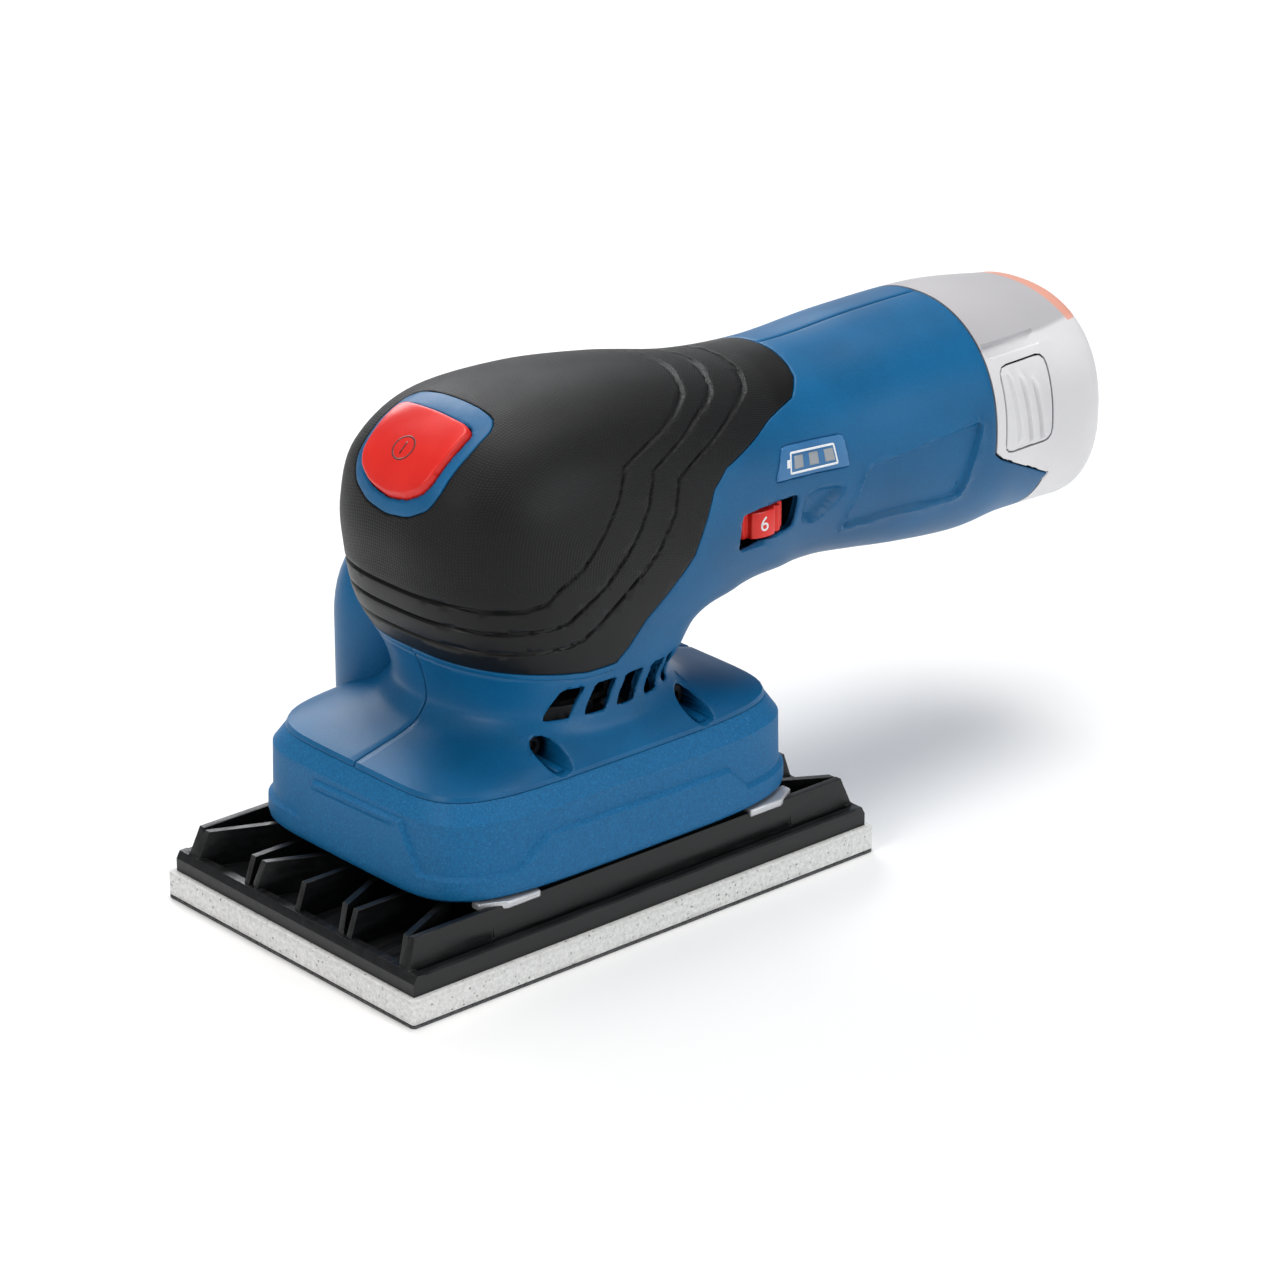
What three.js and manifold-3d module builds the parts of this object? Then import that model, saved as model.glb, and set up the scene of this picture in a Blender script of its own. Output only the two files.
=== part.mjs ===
import * as THREE from 'three';
import { mergeVertices } from 'three/addons/utils/BufferGeometryUtils.js';
import Module from 'manifold-3d';

const wasm = await Module();
wasm.setup();

// A battery palm sander for quarter sheets, in millimetres. The origin is the centre of the
// pad's working face, +X runs from the nose to the battery and -Y is the speed dial's side.

// Clearances
const gap = 0.3;
const seat = 0.05;

// Pad, plate and orbit
const orbit = 0.8;
const pad = { length: 127, width: 82, corner: 1, facing: 0.6, foam: 5.45 };
const plate = { inset: 1.4, floor: 2.4, band: 4.4, rail: 10.6, railStep: 3, railTop: 1.6, rib: 1.5 };
const ribs = { straight: 17, near: 14.4, far: 34, lean: 11.5, start: 1.4 };
const carrier = { halfLength: 37.6, halfWidth: 33.2, notch: 3.4, chamfer: 3.6, thick: 1.2, height: 8.8 };
const foot = { alongX: 28, alongY: 21.5, radius: 5.5, height: 16.2 };
const plateScrew = { alongX: 17, alongY: 25.5 };

// Drive line
const motorX = 3;
const shaftRadius = 3;
const stator = { radius: 20.5, bore: 11.9, base: 57, height: 28, slots: 6 };
const winding = { radius: 18.4, bore: 12.9, height: 4.2 };
const bearing = { radius: 9.5, height: 6 };
const padBearing = { radius: 11, height: 7, pin: 4 };
const hub = { radius: 8, height: 9 };
const weight = { radius: 19, height: 7.5 };
const fan = { radius: 20, height: 5.8, blades: 9, blade: 1.4 };
const shield = { radius: 22, thick: 2.2, spokes: 6 };

// Housing: section [outer x, outer z, inner x, inner z, half width, waist shift, squareness, wall]
const neck = { front: -26, rear: 30, halfWidth: 27.3, base: 36, top: 46 };
const palm = { nose: -35.7, noseZ: 90, top: 111.9, halfWidth: 31 };
const throat = { x: 50, z: 58.5 };
const tail = { end: 113, axis: 78, halfHeight: 27.5, halfWidth: 26.2 };
const lip = { length: 19.3, top: 64.4, shoulder: 72.6, wall: 2.6 };
const wall = { neck: 2.4, grip: 4.2, tail: 2.4, skirt: 2.6 };
const roof = { front: -45.2, rear: 47.4, halfWidth: 33.3, edge: 38.6, square: 4.4 };
const skirt = { front: -47.7, rear: 50, halfWidth: 36, base: 18.5, band: 34.4, deck: 2 };
const gripThick = 1.8;

// Controls
const button = { x: -28.7, z: 103.5, tilt: 39.1, crown: 0.6, thick: 3, travel: 1.5 };
const dial = { x: 44.6, y: -18.9, radius: 8.3, height: 6, base: 73.4, ridges: 20 };

// Battery
const stem = { front: 74, radius: 21.2, wall: 1.25, axis: 79.3 };
const cap = { end: 148, endAxis: 76.2, endHalfHeight: 23.6, endHalfWidth: 24.4, wall: 2.6 };
const cell = { radius: 9.1, length: 65, pitch: 10.6 };
const latch = { x: 123.3, z: 83.3, width: 14.5, height: 19, thick: 3.4, reach: 6.5, ribs: 3, pitch: 3.9 };

// Dust duct and screws
const duct = { x: -11.5, y: 31, radius: 11, wall: 2.2, base: 23, elbow: 54, bend: 10, port: 30 };
const screw = { head: 2.8, headHeight: 2, shank: 1.5, boss: 3.6 };

// Heights that follow
const foamBase = pad.facing + seat;
const plateBase = foamBase + pad.foam + seat;
const floorTop = plateBase + plate.floor;
const bandTop = plateBase + plate.band;
const railTop = plateBase + plate.rail;
const carrierBase = plateBase + carrier.height;
const carrierTop = carrierBase + carrier.thick;
const pinX = motorX + orbit;
const padBearingBase = floorTop + gap;
const bossTop = padBearingBase + padBearing.height + gap;
const hubBase = bossTop + gap;
const deckTop = skirt.base + 16.5;
const bridgeBase = deckTop + gap;
const screwZ = bridgeBase + shield.thick + screw.boss + 0.9;
const fanBase = screwZ + screw.boss + 0.6;
const topShieldBase = stator.base + stator.height + winding.height + 0.6;

const colours = {
  blue: 0x14609c, black: 0x1c1e21, rubber: 0x17181a, red: 0xd3302b, foam: 0xd9d9d6,
  steel: 0xb9bcc0, darkSteel: 0x5a5d61, copper: 0xb06a35, grey: 0xb3b1b4, board: 0x1d5b3a,
  green: 0x3f8f6a, pale: 0x6fa8d0, felt: 0x3c3d3f, alu: 0xa7a9ab,
};

// ---- geometry helpers

function solid(geometry) {
  const bare = geometry.index ? geometry.toNonIndexed() : geometry;
  bare.deleteAttribute('normal');
  bare.deleteAttribute('uv');
  const merged = mergeVertices(bare, 1e-4);
  const vertProperties = new Float32Array(merged.attributes.position.array);
  const triVerts = new Uint32Array(merged.index.array);
  return new wasm.Manifold(new wasm.Mesh({ numProp: 3, vertProperties, triVerts }));
}

function geometryOf(body) {
  const mesh = body.getMesh();
  const geometry = new THREE.BufferGeometry();
  geometry.setAttribute('position', new THREE.BufferAttribute(new Float32Array(mesh.vertProperties), 3));
  geometry.setIndex(new THREE.BufferAttribute(new Uint32Array(mesh.triVerts), 1));
  return geometry;
}

function join(...bodies) {
  return bodies.reduce((sum, body) => sum.add(body));
}

function cut(body, ...tools) {
  return tools.reduce((rest, tool) => rest.subtract(tool), body);
}

const frames = {
  xy: new THREE.Matrix4(),
  xz: new THREE.Matrix4().makeBasis(axisVector(1, 0, 0), axisVector(0, 0, 1), axisVector(0, -1, 0)),
  yz: new THREE.Matrix4().makeBasis(axisVector(0, 1, 0), axisVector(0, 0, 1), axisVector(1, 0, 0)),
};

function axisVector(x, y, z) {
  return new THREE.Vector3(x, y, z);
}

// Extrudes an outline drawn in one plane from one depth to another along the third axis.
function prism(points, plane, from, to, holes = []) {
  const shape = new THREE.Shape(points.map(([u, v]) => new THREE.Vector2(u, v)));
  shape.holes = holes.map((hole) => new THREE.Path(hole.map(([u, v]) => new THREE.Vector2(u, v))));
  const geometry = new THREE.ExtrudeGeometry(shape, { depth: to - from, bevelEnabled: false });
  geometry.translate(0, 0, plane === 'xz' ? -to : from);
  geometry.applyMatrix4(frames[plane]);
  return solid(geometry);
}

function circle(radius, u = 0, v = 0, steps = 24) {
  return Array.from({ length: steps }, (_, i) => {
    const angle = (2 * Math.PI * i) / steps;
    return [u + radius * Math.cos(angle), v + radius * Math.sin(angle)];
  });
}

function roundedRect(halfU, halfV, radius, u = 0, v = 0, steps = 4) {
  const points = [];
  const corners = [[1, 1, 0], [-1, 1, 1], [-1, -1, 2], [1, -1, 3]];
  for (const [signU, signV, quarter] of corners) {
    for (let i = 0; i <= steps; i += 1) {
      const angle = (quarter + i / steps) * (Math.PI / 2);
      const cornerU = signU * (halfU - radius);
      const cornerV = signV * (halfV - radius);
      points.push([u + cornerU + radius * Math.cos(angle), v + cornerV + radius * Math.sin(angle)]);
    }
  }
  return points;
}

function box(x0, x1, y0, y1, z0, z1) {
  const geometry = new THREE.BoxGeometry(x1 - x0, y1 - y0, z1 - z0);
  return solid(geometry.translate((x0 + x1) / 2, (y0 + y1) / 2, (z0 + z1) / 2));
}

// Turns a profile of [radius, height] points about the vertical axis through (x, y).
function turned(profile, x, y, steps = 24) {
  const geometry = new THREE.LatheGeometry(profile.map(([r, h]) => new THREE.Vector2(r, h)), steps);
  return solid(geometry.rotateX(Math.PI / 2).translate(x, y, 0));
}

function disc(radius, z0, z1, x, y, steps = 24) {
  return turned([[0, z0], [radius, z0], [radius, z1], [0, z1]], x, y, steps);
}

function ring(inner, outer, z0, z1, x, y, steps = 24) {
  return turned([[inner, z0], [outer, z0], [outer, z1], [inner, z1], [inner, z0]], x, y, steps);
}

function rodAlongY(radius, x, z, from, to, steps = 14) {
  return prism(circle(radius, x, z, steps), 'xz', from, to);
}

function rodAlongX(radius, y, z, from, to, steps = 24) {
  return prism(circle(radius, y, z, steps), 'yz', from, to);
}

// Moves the edges of an outline outwards by a distance; the outline runs anticlockwise.
function grow(points, distance) {
  const count = points.length;
  const normal = (a, b) => {
    const length = Math.hypot(b[0] - a[0], b[1] - a[1]);
    return [(b[1] - a[1]) / length, (a[0] - b[0]) / length];
  };
  return points.map((point, i) => {
    const first = normal(points[(i + count - 1) % count], point);
    const second = normal(point, points[(i + 1) % count]);
    const share = distance / (1 + first[0] * second[0] + first[1] * second[1]);
    return [point[0] + (first[0] + second[0]) * share, point[1] + (first[1] + second[1]) * share];
  });
}

// ---- lofted sections

function loft(rings) {
  const count = rings[0].length;
  const positions = rings.flat(2);
  const index = [];
  for (let i = 0; i < rings.length - 1; i += 1) {
    for (let j = 0; j < count; j += 1) {
      const a = i * count + j;
      const b = i * count + ((j + 1) % count);
      index.push(a, b, b + count, a, b + count, a + count);
    }
  }
  const last = (rings.length - 1) * count;
  for (let j = 1; j < count - 1; j += 1) {
    index.push(0, j + 1, j, last, last + j, last + j + 1);
  }
  const geometry = new THREE.BufferGeometry();
  geometry.setAttribute('position', new THREE.BufferAttribute(new Float32Array(positions), 3));
  geometry.setIndex(index);
  return solid(geometry);
}

function power(value, exponent) {
  return Math.sign(value) * Math.abs(value) ** exponent;
}

const ringSteps = 24;

// A rounded section between an outer and an inner point of the symmetry plane.
function sectionRing([outerX, outerZ, innerX, innerZ, halfWidth, waist, square, sectionWall], offset) {
  const depth = offset === 'wall' ? sectionWall : offset;
  const half = Math.hypot(outerX - innerX, outerZ - innerZ) / 2;
  const alongX = (outerX - innerX) / (2 * half);
  const alongZ = (outerZ - innerZ) / (2 * half);
  const centreX = (outerX + innerX) / 2 + alongX * waist * half;
  const centreZ = (outerZ + innerZ) / 2 + alongZ * waist * half;
  return Array.from({ length: ringSteps }, (_, i) => {
    const angle = (2 * Math.PI * i) / ringSteps;
    const reach = half * (Math.cos(angle) > 0 ? 1 - waist : 1 + waist) - depth;
    const along = reach * power(Math.cos(angle), 2 / square);
    const across = (depth - halfWidth) * power(Math.sin(angle), 2 / square);
    return [centreX + alongX * along, across, centreZ + alongZ * along];
  });
}

// Catmull-Rom points through the sections, with a number of steps in each span.
function smoothSections(sections, steps) {
  const rows = [];
  const at = (i) => sections[Math.min(Math.max(i, 0), sections.length - 1)];
  for (let i = 0; i < sections.length - 1; i += 1) {
    const [p, q, r, s] = [at(i - 1), at(i), at(i + 1), at(i + 2)];
    for (let k = 0; k < steps; k += 1) {
      const t = k / steps;
      rows.push(q.map((value, n) => 0.5 * (2 * value + (r[n] - p[n]) * t
        + (2 * p[n] - 5 * value + 4 * r[n] - s[n]) * t * t
        + (3 * value - p[n] - 3 * r[n] + s[n]) * t * t * t)));
    }
  }
  rows.push(sections[sections.length - 1]);
  return rows;
}

const neckSections = [
  [neck.front, neck.base, neck.rear, neck.base, neck.halfWidth, 0, 2.3, wall.neck],
  [neck.front, neck.top, neck.rear, neck.top, neck.halfWidth, 0, 2.3, wall.neck],
  [neck.front - 1.5, neck.top + 10, neck.rear + 2.5, neck.top + 6, neck.halfWidth + 0.5, 0, 2.5, wall.grip],
];
const palmSections = [
  [palm.nose + 2.7, palm.noseZ - 23, throat.x - 14.5, throat.z - 1.7, palm.halfWidth - 2, 0.05, 2.8, wall.grip],
  [palm.nose + 0.4, palm.noseZ - 11, throat.x - 10, throat.z - 0.2, palm.halfWidth - 0.7, 0.08, 2.8, wall.grip],
  [palm.nose, palm.noseZ, throat.x - 4, throat.z, palm.halfWidth, 0.1, 2.8, wall.grip],
  [palm.nose + 4, palm.top - 10.1, throat.x, throat.z, palm.halfWidth, 0.1, 2.8, wall.grip],
  [palm.nose + 17.7, palm.top - 1.6, throat.x + 4.5, throat.z - 0.5, palm.halfWidth - 1, 0.1, 2.8, wall.grip],
  [palm.nose + 40.1, palm.top, throat.x + 10, throat.z - 1.2, palm.halfWidth - 2.5, 0.08, 2.7, wall.grip],
];
const lowTail = tail.axis - tail.halfHeight;
const highTail = tail.axis + tail.halfHeight;
const tailSections = [
  [tail.end - 86.5, palm.top - 1.9, throat.x + 16, throat.z - 2, tail.halfWidth + 0.6, 0.05, 2.4, wall.grip],
  [tail.end - 65, highTail + 0.5, tail.end - 39, lowTail + 5, tail.halfWidth - 0.9, 0, 2.2, 3.4],
  [tail.end - 43, highTail - 1.2, tail.end - 29, lowTail + 3.5, tail.halfWidth - 1.2, 0, 2.2, wall.tail],
  [tail.end - 21, highTail - 0.2, tail.end - 16, lowTail + 1.5, tail.halfWidth - 0.5, 0, 2.2, wall.tail],
  [tail.end, highTail, tail.end, lowTail, tail.halfWidth, 0, 2.2, wall.tail],
];
const capSections = [
  tailSections[tailSections.length - 1],
  [cap.end - 22, highTail - 0.8, cap.end - 22, lowTail + 0.9, tail.halfWidth - 0.3, 0, 2.2, wall.tail],
  [cap.end - 2.6, cap.endAxis + cap.endHalfHeight + 1.4, cap.end - 2.6,
    cap.endAxis - cap.endHalfHeight - 1, cap.endHalfWidth + 1, 0, 2.3, wall.tail],
  [cap.end, cap.endAxis + cap.endHalfHeight - 1.4, cap.end,
    cap.endAxis - cap.endHalfHeight + 1.4, cap.endHalfWidth - 1.6, 0, 2.3, wall.tail],
];

function bodyLoft(offset, past = 0) {
  const rows = smoothSections([...neckSections, ...palmSections, ...tailSections], 1);
  const first = [...rows[0]];
  const last = [...rows[rows.length - 1]];
  first[1] -= past;
  first[3] -= past;
  last[0] += past;
  last[2] += past;
  const rings = rows.map((row) => sectionRing(row, offset));
  if (past > 0) {
    rings.unshift(sectionRing(first, offset));
    rings.push(sectionRing(last, offset));
  }
  return loft(rings);
}

function capLoft(offset, past = 0) {
  const rings = smoothSections(capSections, 2).map((row) => sectionRing(row, offset));
  const front = [...capSections[0]];
  front[0] -= 8;
  front[2] -= 8;
  const rear = [...capSections[capSections.length - 1]];
  rear[0] += past;
  rear[2] += past;
  return loft([sectionRing(front, offset), ...rings, ...(past > 0 ? [sectionRing(rear, offset)] : [])]);
}

function boxRing(front, rear, halfWidth, z, offset, squareX = roof.square, squareY = roof.square + 1.6) {
  const centre = (front + rear) / 2;
  const half = (rear - front) / 2 - offset;
  return Array.from({ length: ringSteps }, (_, i) => {
    const angle = (2 * Math.PI * i) / ringSteps;
    const across = (halfWidth - offset) * power(Math.sin(angle), 2 / squareY);
    return [centre + half * power(Math.cos(angle), 2 / squareX), across, z];
  });
}

// The roof flares from the neck to its edge in a hollow curve.
function roofLoft(offset) {
  const flare = [[0, 0], [0.02, 0.8], [0.35, 2.4], [0.62, 3.7], [0.84, 5.4], [1.02, 11]];
  const mix = (a, b, share) => a + (b - a) * share;
  const rings = flare.map(([share, rise]) => boxRing(
    mix(roof.front, neck.front, share), mix(roof.rear, neck.rear, share),
    mix(roof.halfWidth, neck.halfWidth, share), roof.edge + rise - offset,
    offset, mix(roof.square, 2.3, share), mix(roof.square + 1.6, 2.3, share),
  ));
  if (offset !== 0) {
    rings.unshift(boxRing(roof.front, roof.rear, roof.halfWidth, roof.edge - Math.abs(offset) - 2, offset));
  }
  return loft(rings);
}

function skirtLoft(offset, past = 0) {
  const rings = [
    boxRing(skirt.front, skirt.rear, skirt.halfWidth, skirt.base - past, offset),
    boxRing(skirt.front + 0.4, skirt.rear - 0.4, skirt.halfWidth, skirt.band, offset),
    boxRing(roof.front, roof.rear, roof.halfWidth, roof.edge - gap + past, offset),
  ];
  return loft(rings);
}

// ---- pad assembly

function padSlab(z0, z1) {
  return prism(roundedRect(pad.length / 2, pad.width / 2, pad.corner), 'xy', z0, z1);
}

function railProfile(side) {
  const edge = pad.width / 2 - plate.inset;
  const face = edge - plate.railStep;
  const points = [
    [edge, plateBase], [edge, bandTop - 0.4], [edge - 0.4, bandTop], [face + 0.9, bandTop],
    [face + 0.9, bandTop - 0.9], [face, bandTop - 0.9], [face, bandTop + 0.5], [face - 0.9, railTop],
    [face - 0.9 - plate.railTop, railTop], [face - 3, plateBase],
  ];
  return side > 0 ? points : points.map(([y, z]) => [-y, z]).reverse();
}

function endSlope(side) {
  const end = pad.length / 2 - plate.inset;
  const points = [
    [end + 1, bandTop - 1.6], [end, bandTop - 1.6], [end - 0.9, bandTop], [end - 1.5, bandTop + 0.5],
    [end - 3.9, railTop + 1], [end + 1, railTop + 1],
  ];
  return side > 0 ? points.reverse() : points.map(([x, z]) => [-x, z]);
}

// The ribs end just short of the carrier plate, which is centred on the motor.
function ribReach(side) {
  return pad.length / 2 - plate.inset - ribs.start - carrier.halfLength - side * motorX - 1;
}

// One upright rib that starts at the end band and runs inwards, leaning by a distance across.
function endRib(side, y, lean) {
  const end = pad.length / 2 - plate.inset;
  const reach = ribReach(side);
  const length = Math.hypot(reach, lean);
  const outline = [[0, floorTop - 0.5], [length, floorTop - 0.5], [length, railTop - 0.3], [0, railTop - 0.3]];
  const geometry = new THREE.Matrix4().makeRotationZ(Math.atan2(lean, -reach));
  const body = prism(outline, 'xz', -plate.rib / 2, plate.rib / 2);
  const placed = geometryOf(body).applyMatrix4(geometry).translate(end - ribs.start, y, 0);
  const toInside = solid(placed);
  return side > 0 ? toInside : solid(geometryOf(toInside).rotateZ(Math.PI));
}

function basePlate() {
  const end = pad.length / 2 - plate.inset;
  const edge = pad.width / 2 - plate.inset;
  let body = box(-end, end, -edge + 0.5, edge - 0.5, plateBase, floorTop);
  for (const side of [-1, 1]) {
    body = body.add(prism(railProfile(side), 'yz', -end, end));
    const low = side > 0 ? end - 2.9 : -end;
    body = body.add(box(low, low + 2.9, -edge, edge, plateBase, bandTop));
    const inner = side * (end - ribs.start - ribReach(side));
    body = body.add(box(inner - 0.8, inner + 0.8, -edge + 4, edge - 4, plateBase, carrierBase - 1));
    for (const y of [-ribs.straight, 0, ribs.straight]) {
      body = body.add(endRib(side, y, 0));
    }
    for (const half of [-1, 1]) {
      body = body.add(endRib(side, half * ribs.near, -half * ribs.lean));
      body = body.add(endRib(side, half * ribs.far, -half * ribs.lean));
    }
  }
  body = join(body, disc(padBearing.radius + 3, plateBase, bossTop, pinX, 0, 24));
  for (const [x, y] of plateScrewPlaces()) {
    body = body.add(disc(4, plateBase, carrierBase - seat, x, y, 12));
  }
  for (const [x, y] of footPlaces(pinX)) {
    body = body.add(disc(6, plateBase, carrierBase - seat, x, y, 12));
  }
  for (const side of [-1, 1]) {
    body = body.subtract(prism(endSlope(side), 'xz', -edge - 1, edge + 1));
    for (const x of [-39, 43]) {
      const outer = side * (edge - plate.railStep);
      body = body.subtract(box(x - 0.3, x + 0.3, outer - 0.35, outer + 0.35, bandTop + 0.2, railTop + 1));
    }
  }
  for (const [x, y] of plateScrewPlaces()) {
    body = body.subtract(disc(screw.shank + gap, carrierBase - 6, carrierBase + 1, x, y, 10));
  }
  return body.subtract(disc(padBearing.radius + gap, padBearingBase - gap, bossTop + 1, pinX, 0, 24));
}

function plateScrewPlaces() {
  const { alongX, alongY } = plateScrew;
  return [[-1, -1], [1, -1], [1, 1], [-1, 1]].map(([sx, sy]) => [pinX + sx * alongX, sy * alongY]);
}

function footPlaces(centreX) {
  const { alongX, alongY } = foot;
  return [[-1, -1], [1, -1], [1, 1], [-1, 1]].map(([sx, sy]) => [centreX + sx * alongX, sy * alongY]);
}

function carrierPlate() {
  const { halfLength: a, halfWidth: b, notch, chamfer: c } = carrier;
  const half = [
    [a, b - c], [a - c, b], [a - 12, b], [a - 12, b - notch], [12 - a, b - notch], [12 - a, b],
    [c - a, b], [-a, b - c],
  ];
  const outline = [...half, ...half.map(([x, y]) => [-x, -y])].map(([x, y]) => [x + pinX - orbit, y]);
  let body = prism(outline, 'xy', carrierBase, carrierTop);
  body = body.subtract(disc(padBearing.radius + 3 + gap, carrierBase - 1, carrierTop + 1, pinX, 0, 24));
  for (const [x, y] of plateScrewPlaces()) {
    body = body.subtract(disc(screw.shank + gap, carrierBase - 1, carrierTop + 1, x, y, 10));
  }
  return body;
}

function elasticFoot(x, y) {
  const low = carrierTop + seat;
  const high = low + foot.height;
  return turned([
    [0, low], [foot.radius + 1, low], [foot.radius + 1, low + 1.8], [foot.radius - 1.3, low + 4],
    [foot.radius - 1.3, high - 5], [foot.radius, high - 3], [foot.radius, high], [0, high],
  ], x, y, 14);
}

function screwBody(length) {
  const { head, headHeight: h, shank } = screw;
  return turned([
    [0, 0], [shank, 0], [shank, length], [head, length], [head, length + h - 0.5],
    [head - 0.5, length + h], [1.2, length + h], [0.9, length + h - 1], [0, length + h - 1],
  ], 0, 0, 8);
}

function plateScrewBody(x, y) {
  const length = 5.5;
  return solid(geometryOf(screwBody(length)).translate(x, y, carrierTop + seat - length));
}

// ---- drive line

function bearingRing(radius, bore, z0, height, x) {
  return ring(bore + gap, radius, z0, z0 + height, x, 0, 20);
}

function eccentricHub() {
  const body = join(
    disc(hub.radius, hubBase, hubBase + hub.height, motorX, 0, 28),
    disc(padBearing.pin, padBearingBase, hubBase + 1, pinX, 0, 24),
  );
  return body.subtract(disc(shaftRadius + gap, hubBase + 1.5, hubBase + hub.height + 1, motorX, 0, 20));
}

function counterweight() {
  const outer = circle(weight.radius, 0, 0, 40).filter(([u]) => u <= 0.01);
  const inner = circle(hub.radius + gap, 0, 0, 24).filter(([u]) => u <= 0.01).reverse();
  const outline = [...outer, ...inner].map(([u, v]) => [u + motorX, v]);
  return prism(outline, 'xy', hubBase + 1.4, hubBase + 1.4 + weight.height);
}

function motorShaft() {
  const low = hubBase + 1.5 + gap;
  const high = topShieldBase + shield.thick + bearing.height;
  return turned([
    [0, low], [shaftRadius, low], [shaftRadius, high - 0.5], [shaftRadius - 0.5, high], [0, high],
  ], motorX, 0, 20);
}

function rotorCore() {
  const body = disc(stator.bore - 0.7, stator.base + 1, stator.base + stator.height - 1, motorX, 0, 28);
  return body.subtract(disc(shaftRadius + gap, stator.base - 1, stator.base + 40, motorX, 0, 20));
}

function coolingFan() {
  const top = fanBase + fan.height;
  let body = join(
    disc(fan.radius, fanBase, fanBase + 1.2, motorX, 0, 30),
    disc(6, fanBase, top, motorX, 0, 20),
  );
  for (let i = 0; i < fan.blades; i += 1) {
    const blade = box(4, fan.radius - 0.5, -fan.blade / 2, fan.blade / 2, fanBase + 0.5, top);
    const turn = (2 * Math.PI * i) / fan.blades;
    body = body.add(solid(geometryOf(blade).rotateZ(turn).translate(motorX, 0, 0)));
  }
  return body.subtract(disc(shaftRadius + gap, fanBase - 1, top + 1, motorX, 0, 20));
}

function statorCore() {
  const { radius, bore, base, height, slots } = stator;
  const holes = [circle(bore, motorX, 0, 28)];
  for (let i = 0; i < slots; i += 1) {
    const turn = (2 * Math.PI * (i + 0.5)) / slots;
    const slot = roundedRect(2.2, 4.4, 1, (bore + radius) / 2 - 0.6, 0, 2);
    const [c, s] = [Math.cos(turn), Math.sin(turn)];
    holes.push(slot.map(([u, v]) => [motorX + u * c - v * s, u * s + v * c]));
  }
  return prism(circle(radius, motorX, 0, 32), 'xy', base, base + height, holes);
}

function windingRing(z0) {
  const { radius, bore, height: h } = winding;
  return turned([
    [bore + 0.8, z0], [radius - 0.8, z0], [radius, z0 + 0.8], [radius, z0 + h - 0.8],
    [radius - 0.8, z0 + h], [bore + 0.8, z0 + h], [bore, z0 + h - 0.8], [bore, z0 + 0.8],
    [bore + 0.8, z0],
  ], motorX, 0, 18);
}

function shieldPlate(z0, radius) {
  let body = join(
    disc(radius, z0, z0 + shield.thick, motorX, 0, 28),
    disc(bearing.radius + 3, z0, z0 + shield.thick + bearing.height, motorX, 0, 24),
  );
  for (let i = 0; i < shield.spokes; i += 1) {
    const hole = disc(3, z0 - 1, z0 + shield.thick + 1, 17, 0, 8);
    const turn = (2 * Math.PI * (i + 0.5)) / shield.spokes;
    body = body.subtract(solid(geometryOf(hole).rotateZ(turn).translate(motorX, 0, 0)));
  }
  const seatZ = z0 + shield.thick - 0.6;
  body = body.subtract(disc(bearing.radius + gap, seatZ, z0 + 20, motorX, 0, 24));
  return body.subtract(disc(bearing.radius - 2.5, z0 - 1, z0 + 20, motorX, 0, 24));
}

function shieldBearing(z0) {
  const base = z0 + shield.thick - 0.6 + seat;
  return bearingRing(bearing.radius, shaftRadius, base, bearing.height, motorX);
}

// ---- housing

// Side outline of the soft grip, from the nose round its lower edge to the back of the tongue.
const gripOutline = [
  [-70, 61.5], [-31, 60.6], [-17, 58.6], [-6, 57], [1.5, 57.2], [4.6, 60], [8.6, 65.6], [14.4, 70.6],
  [21.4, 76.4], [25.8, 83.4], [28.2, 88.4], [32.5, 91.8], [49.5, 96.5], [59.5, 98.4], [63.6, 101],
  [65.8, 104.4], [66.5, 130], [-70, 130],
];

// The button's own frame: u up the slope towards the tail, v across, w out of the surface.
const tilt = THREE.MathUtils.degToRad(button.tilt);
const buttonFrame = new THREE.Matrix4().makeBasis(
  axisVector(Math.cos(tilt), 0, Math.sin(tilt)),
  axisVector(0, 1, 0),
  axisVector(-Math.sin(tilt), 0, Math.cos(tilt)),
).setPosition(button.x, 0, button.z);

// Half outlines [u, v] from the bottom of the slope to the top; the other half mirrors them.
const buttonHalf = [[-10.2, 0], [-9.4, 5.5], [-7.2, 9.4], [-4.5, 10.9], [3, 11.4], [7.8, 11.2], [9.2, 9.6], [9.6, 0]];
const bezelHalf = [[-13, 0], [-12.2, 6.5], [-9.6, 11.6], [-5.8, 13.6], [4, 14.2], [11, 13.6], [13.8, 11.4],
  [14.9, 6], [15.2, 0]];

function mirrored(half) {
  const inner = half.slice(1, -1).reverse();
  return [...half.map(([u, v]) => [u, -v]), ...inner];
}

function buttonPrism(half, margin, low, high) {
  const shape = new THREE.Shape(grow(mirrored(half), margin).map(([u, v]) => new THREE.Vector2(u, v)));
  const geometry = new THREE.ExtrudeGeometry(shape, { depth: high - low, bevelEnabled: false });
  return solid(geometry.translate(0, 0, low).applyMatrix4(buttonFrame));
}

function softGrip() {
  const layer = bodyLoft(0).subtract(bodyLoft(gripThick));
  const band = layer.intersect(prism(gripOutline, 'xz', -60, 60));
  return band.subtract(buttonPrism(bezelHalf, gap, -15, 25));
}

function switchBezel() {
  const layer = bodyLoft(0).subtract(bodyLoft(gripThick));
  return layer.intersect(buttonPrism(bezelHalf, 0, -12, 20)).subtract(buttonPrism(buttonHalf, gap, -15, 25));
}

function powerButton() {
  const crown = bodyLoft(-button.crown).subtract(bodyLoft(button.thick));
  const keycap = crown.intersect(buttonPrism(buttonHalf, 0, -9, 12));
  const plunger = prism(circle(2, 0, 0, 16), 'xy', -6, -1.5);
  return keycap.add(solid(geometryOf(plunger).applyMatrix4(buttonFrame)));
}

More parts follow.
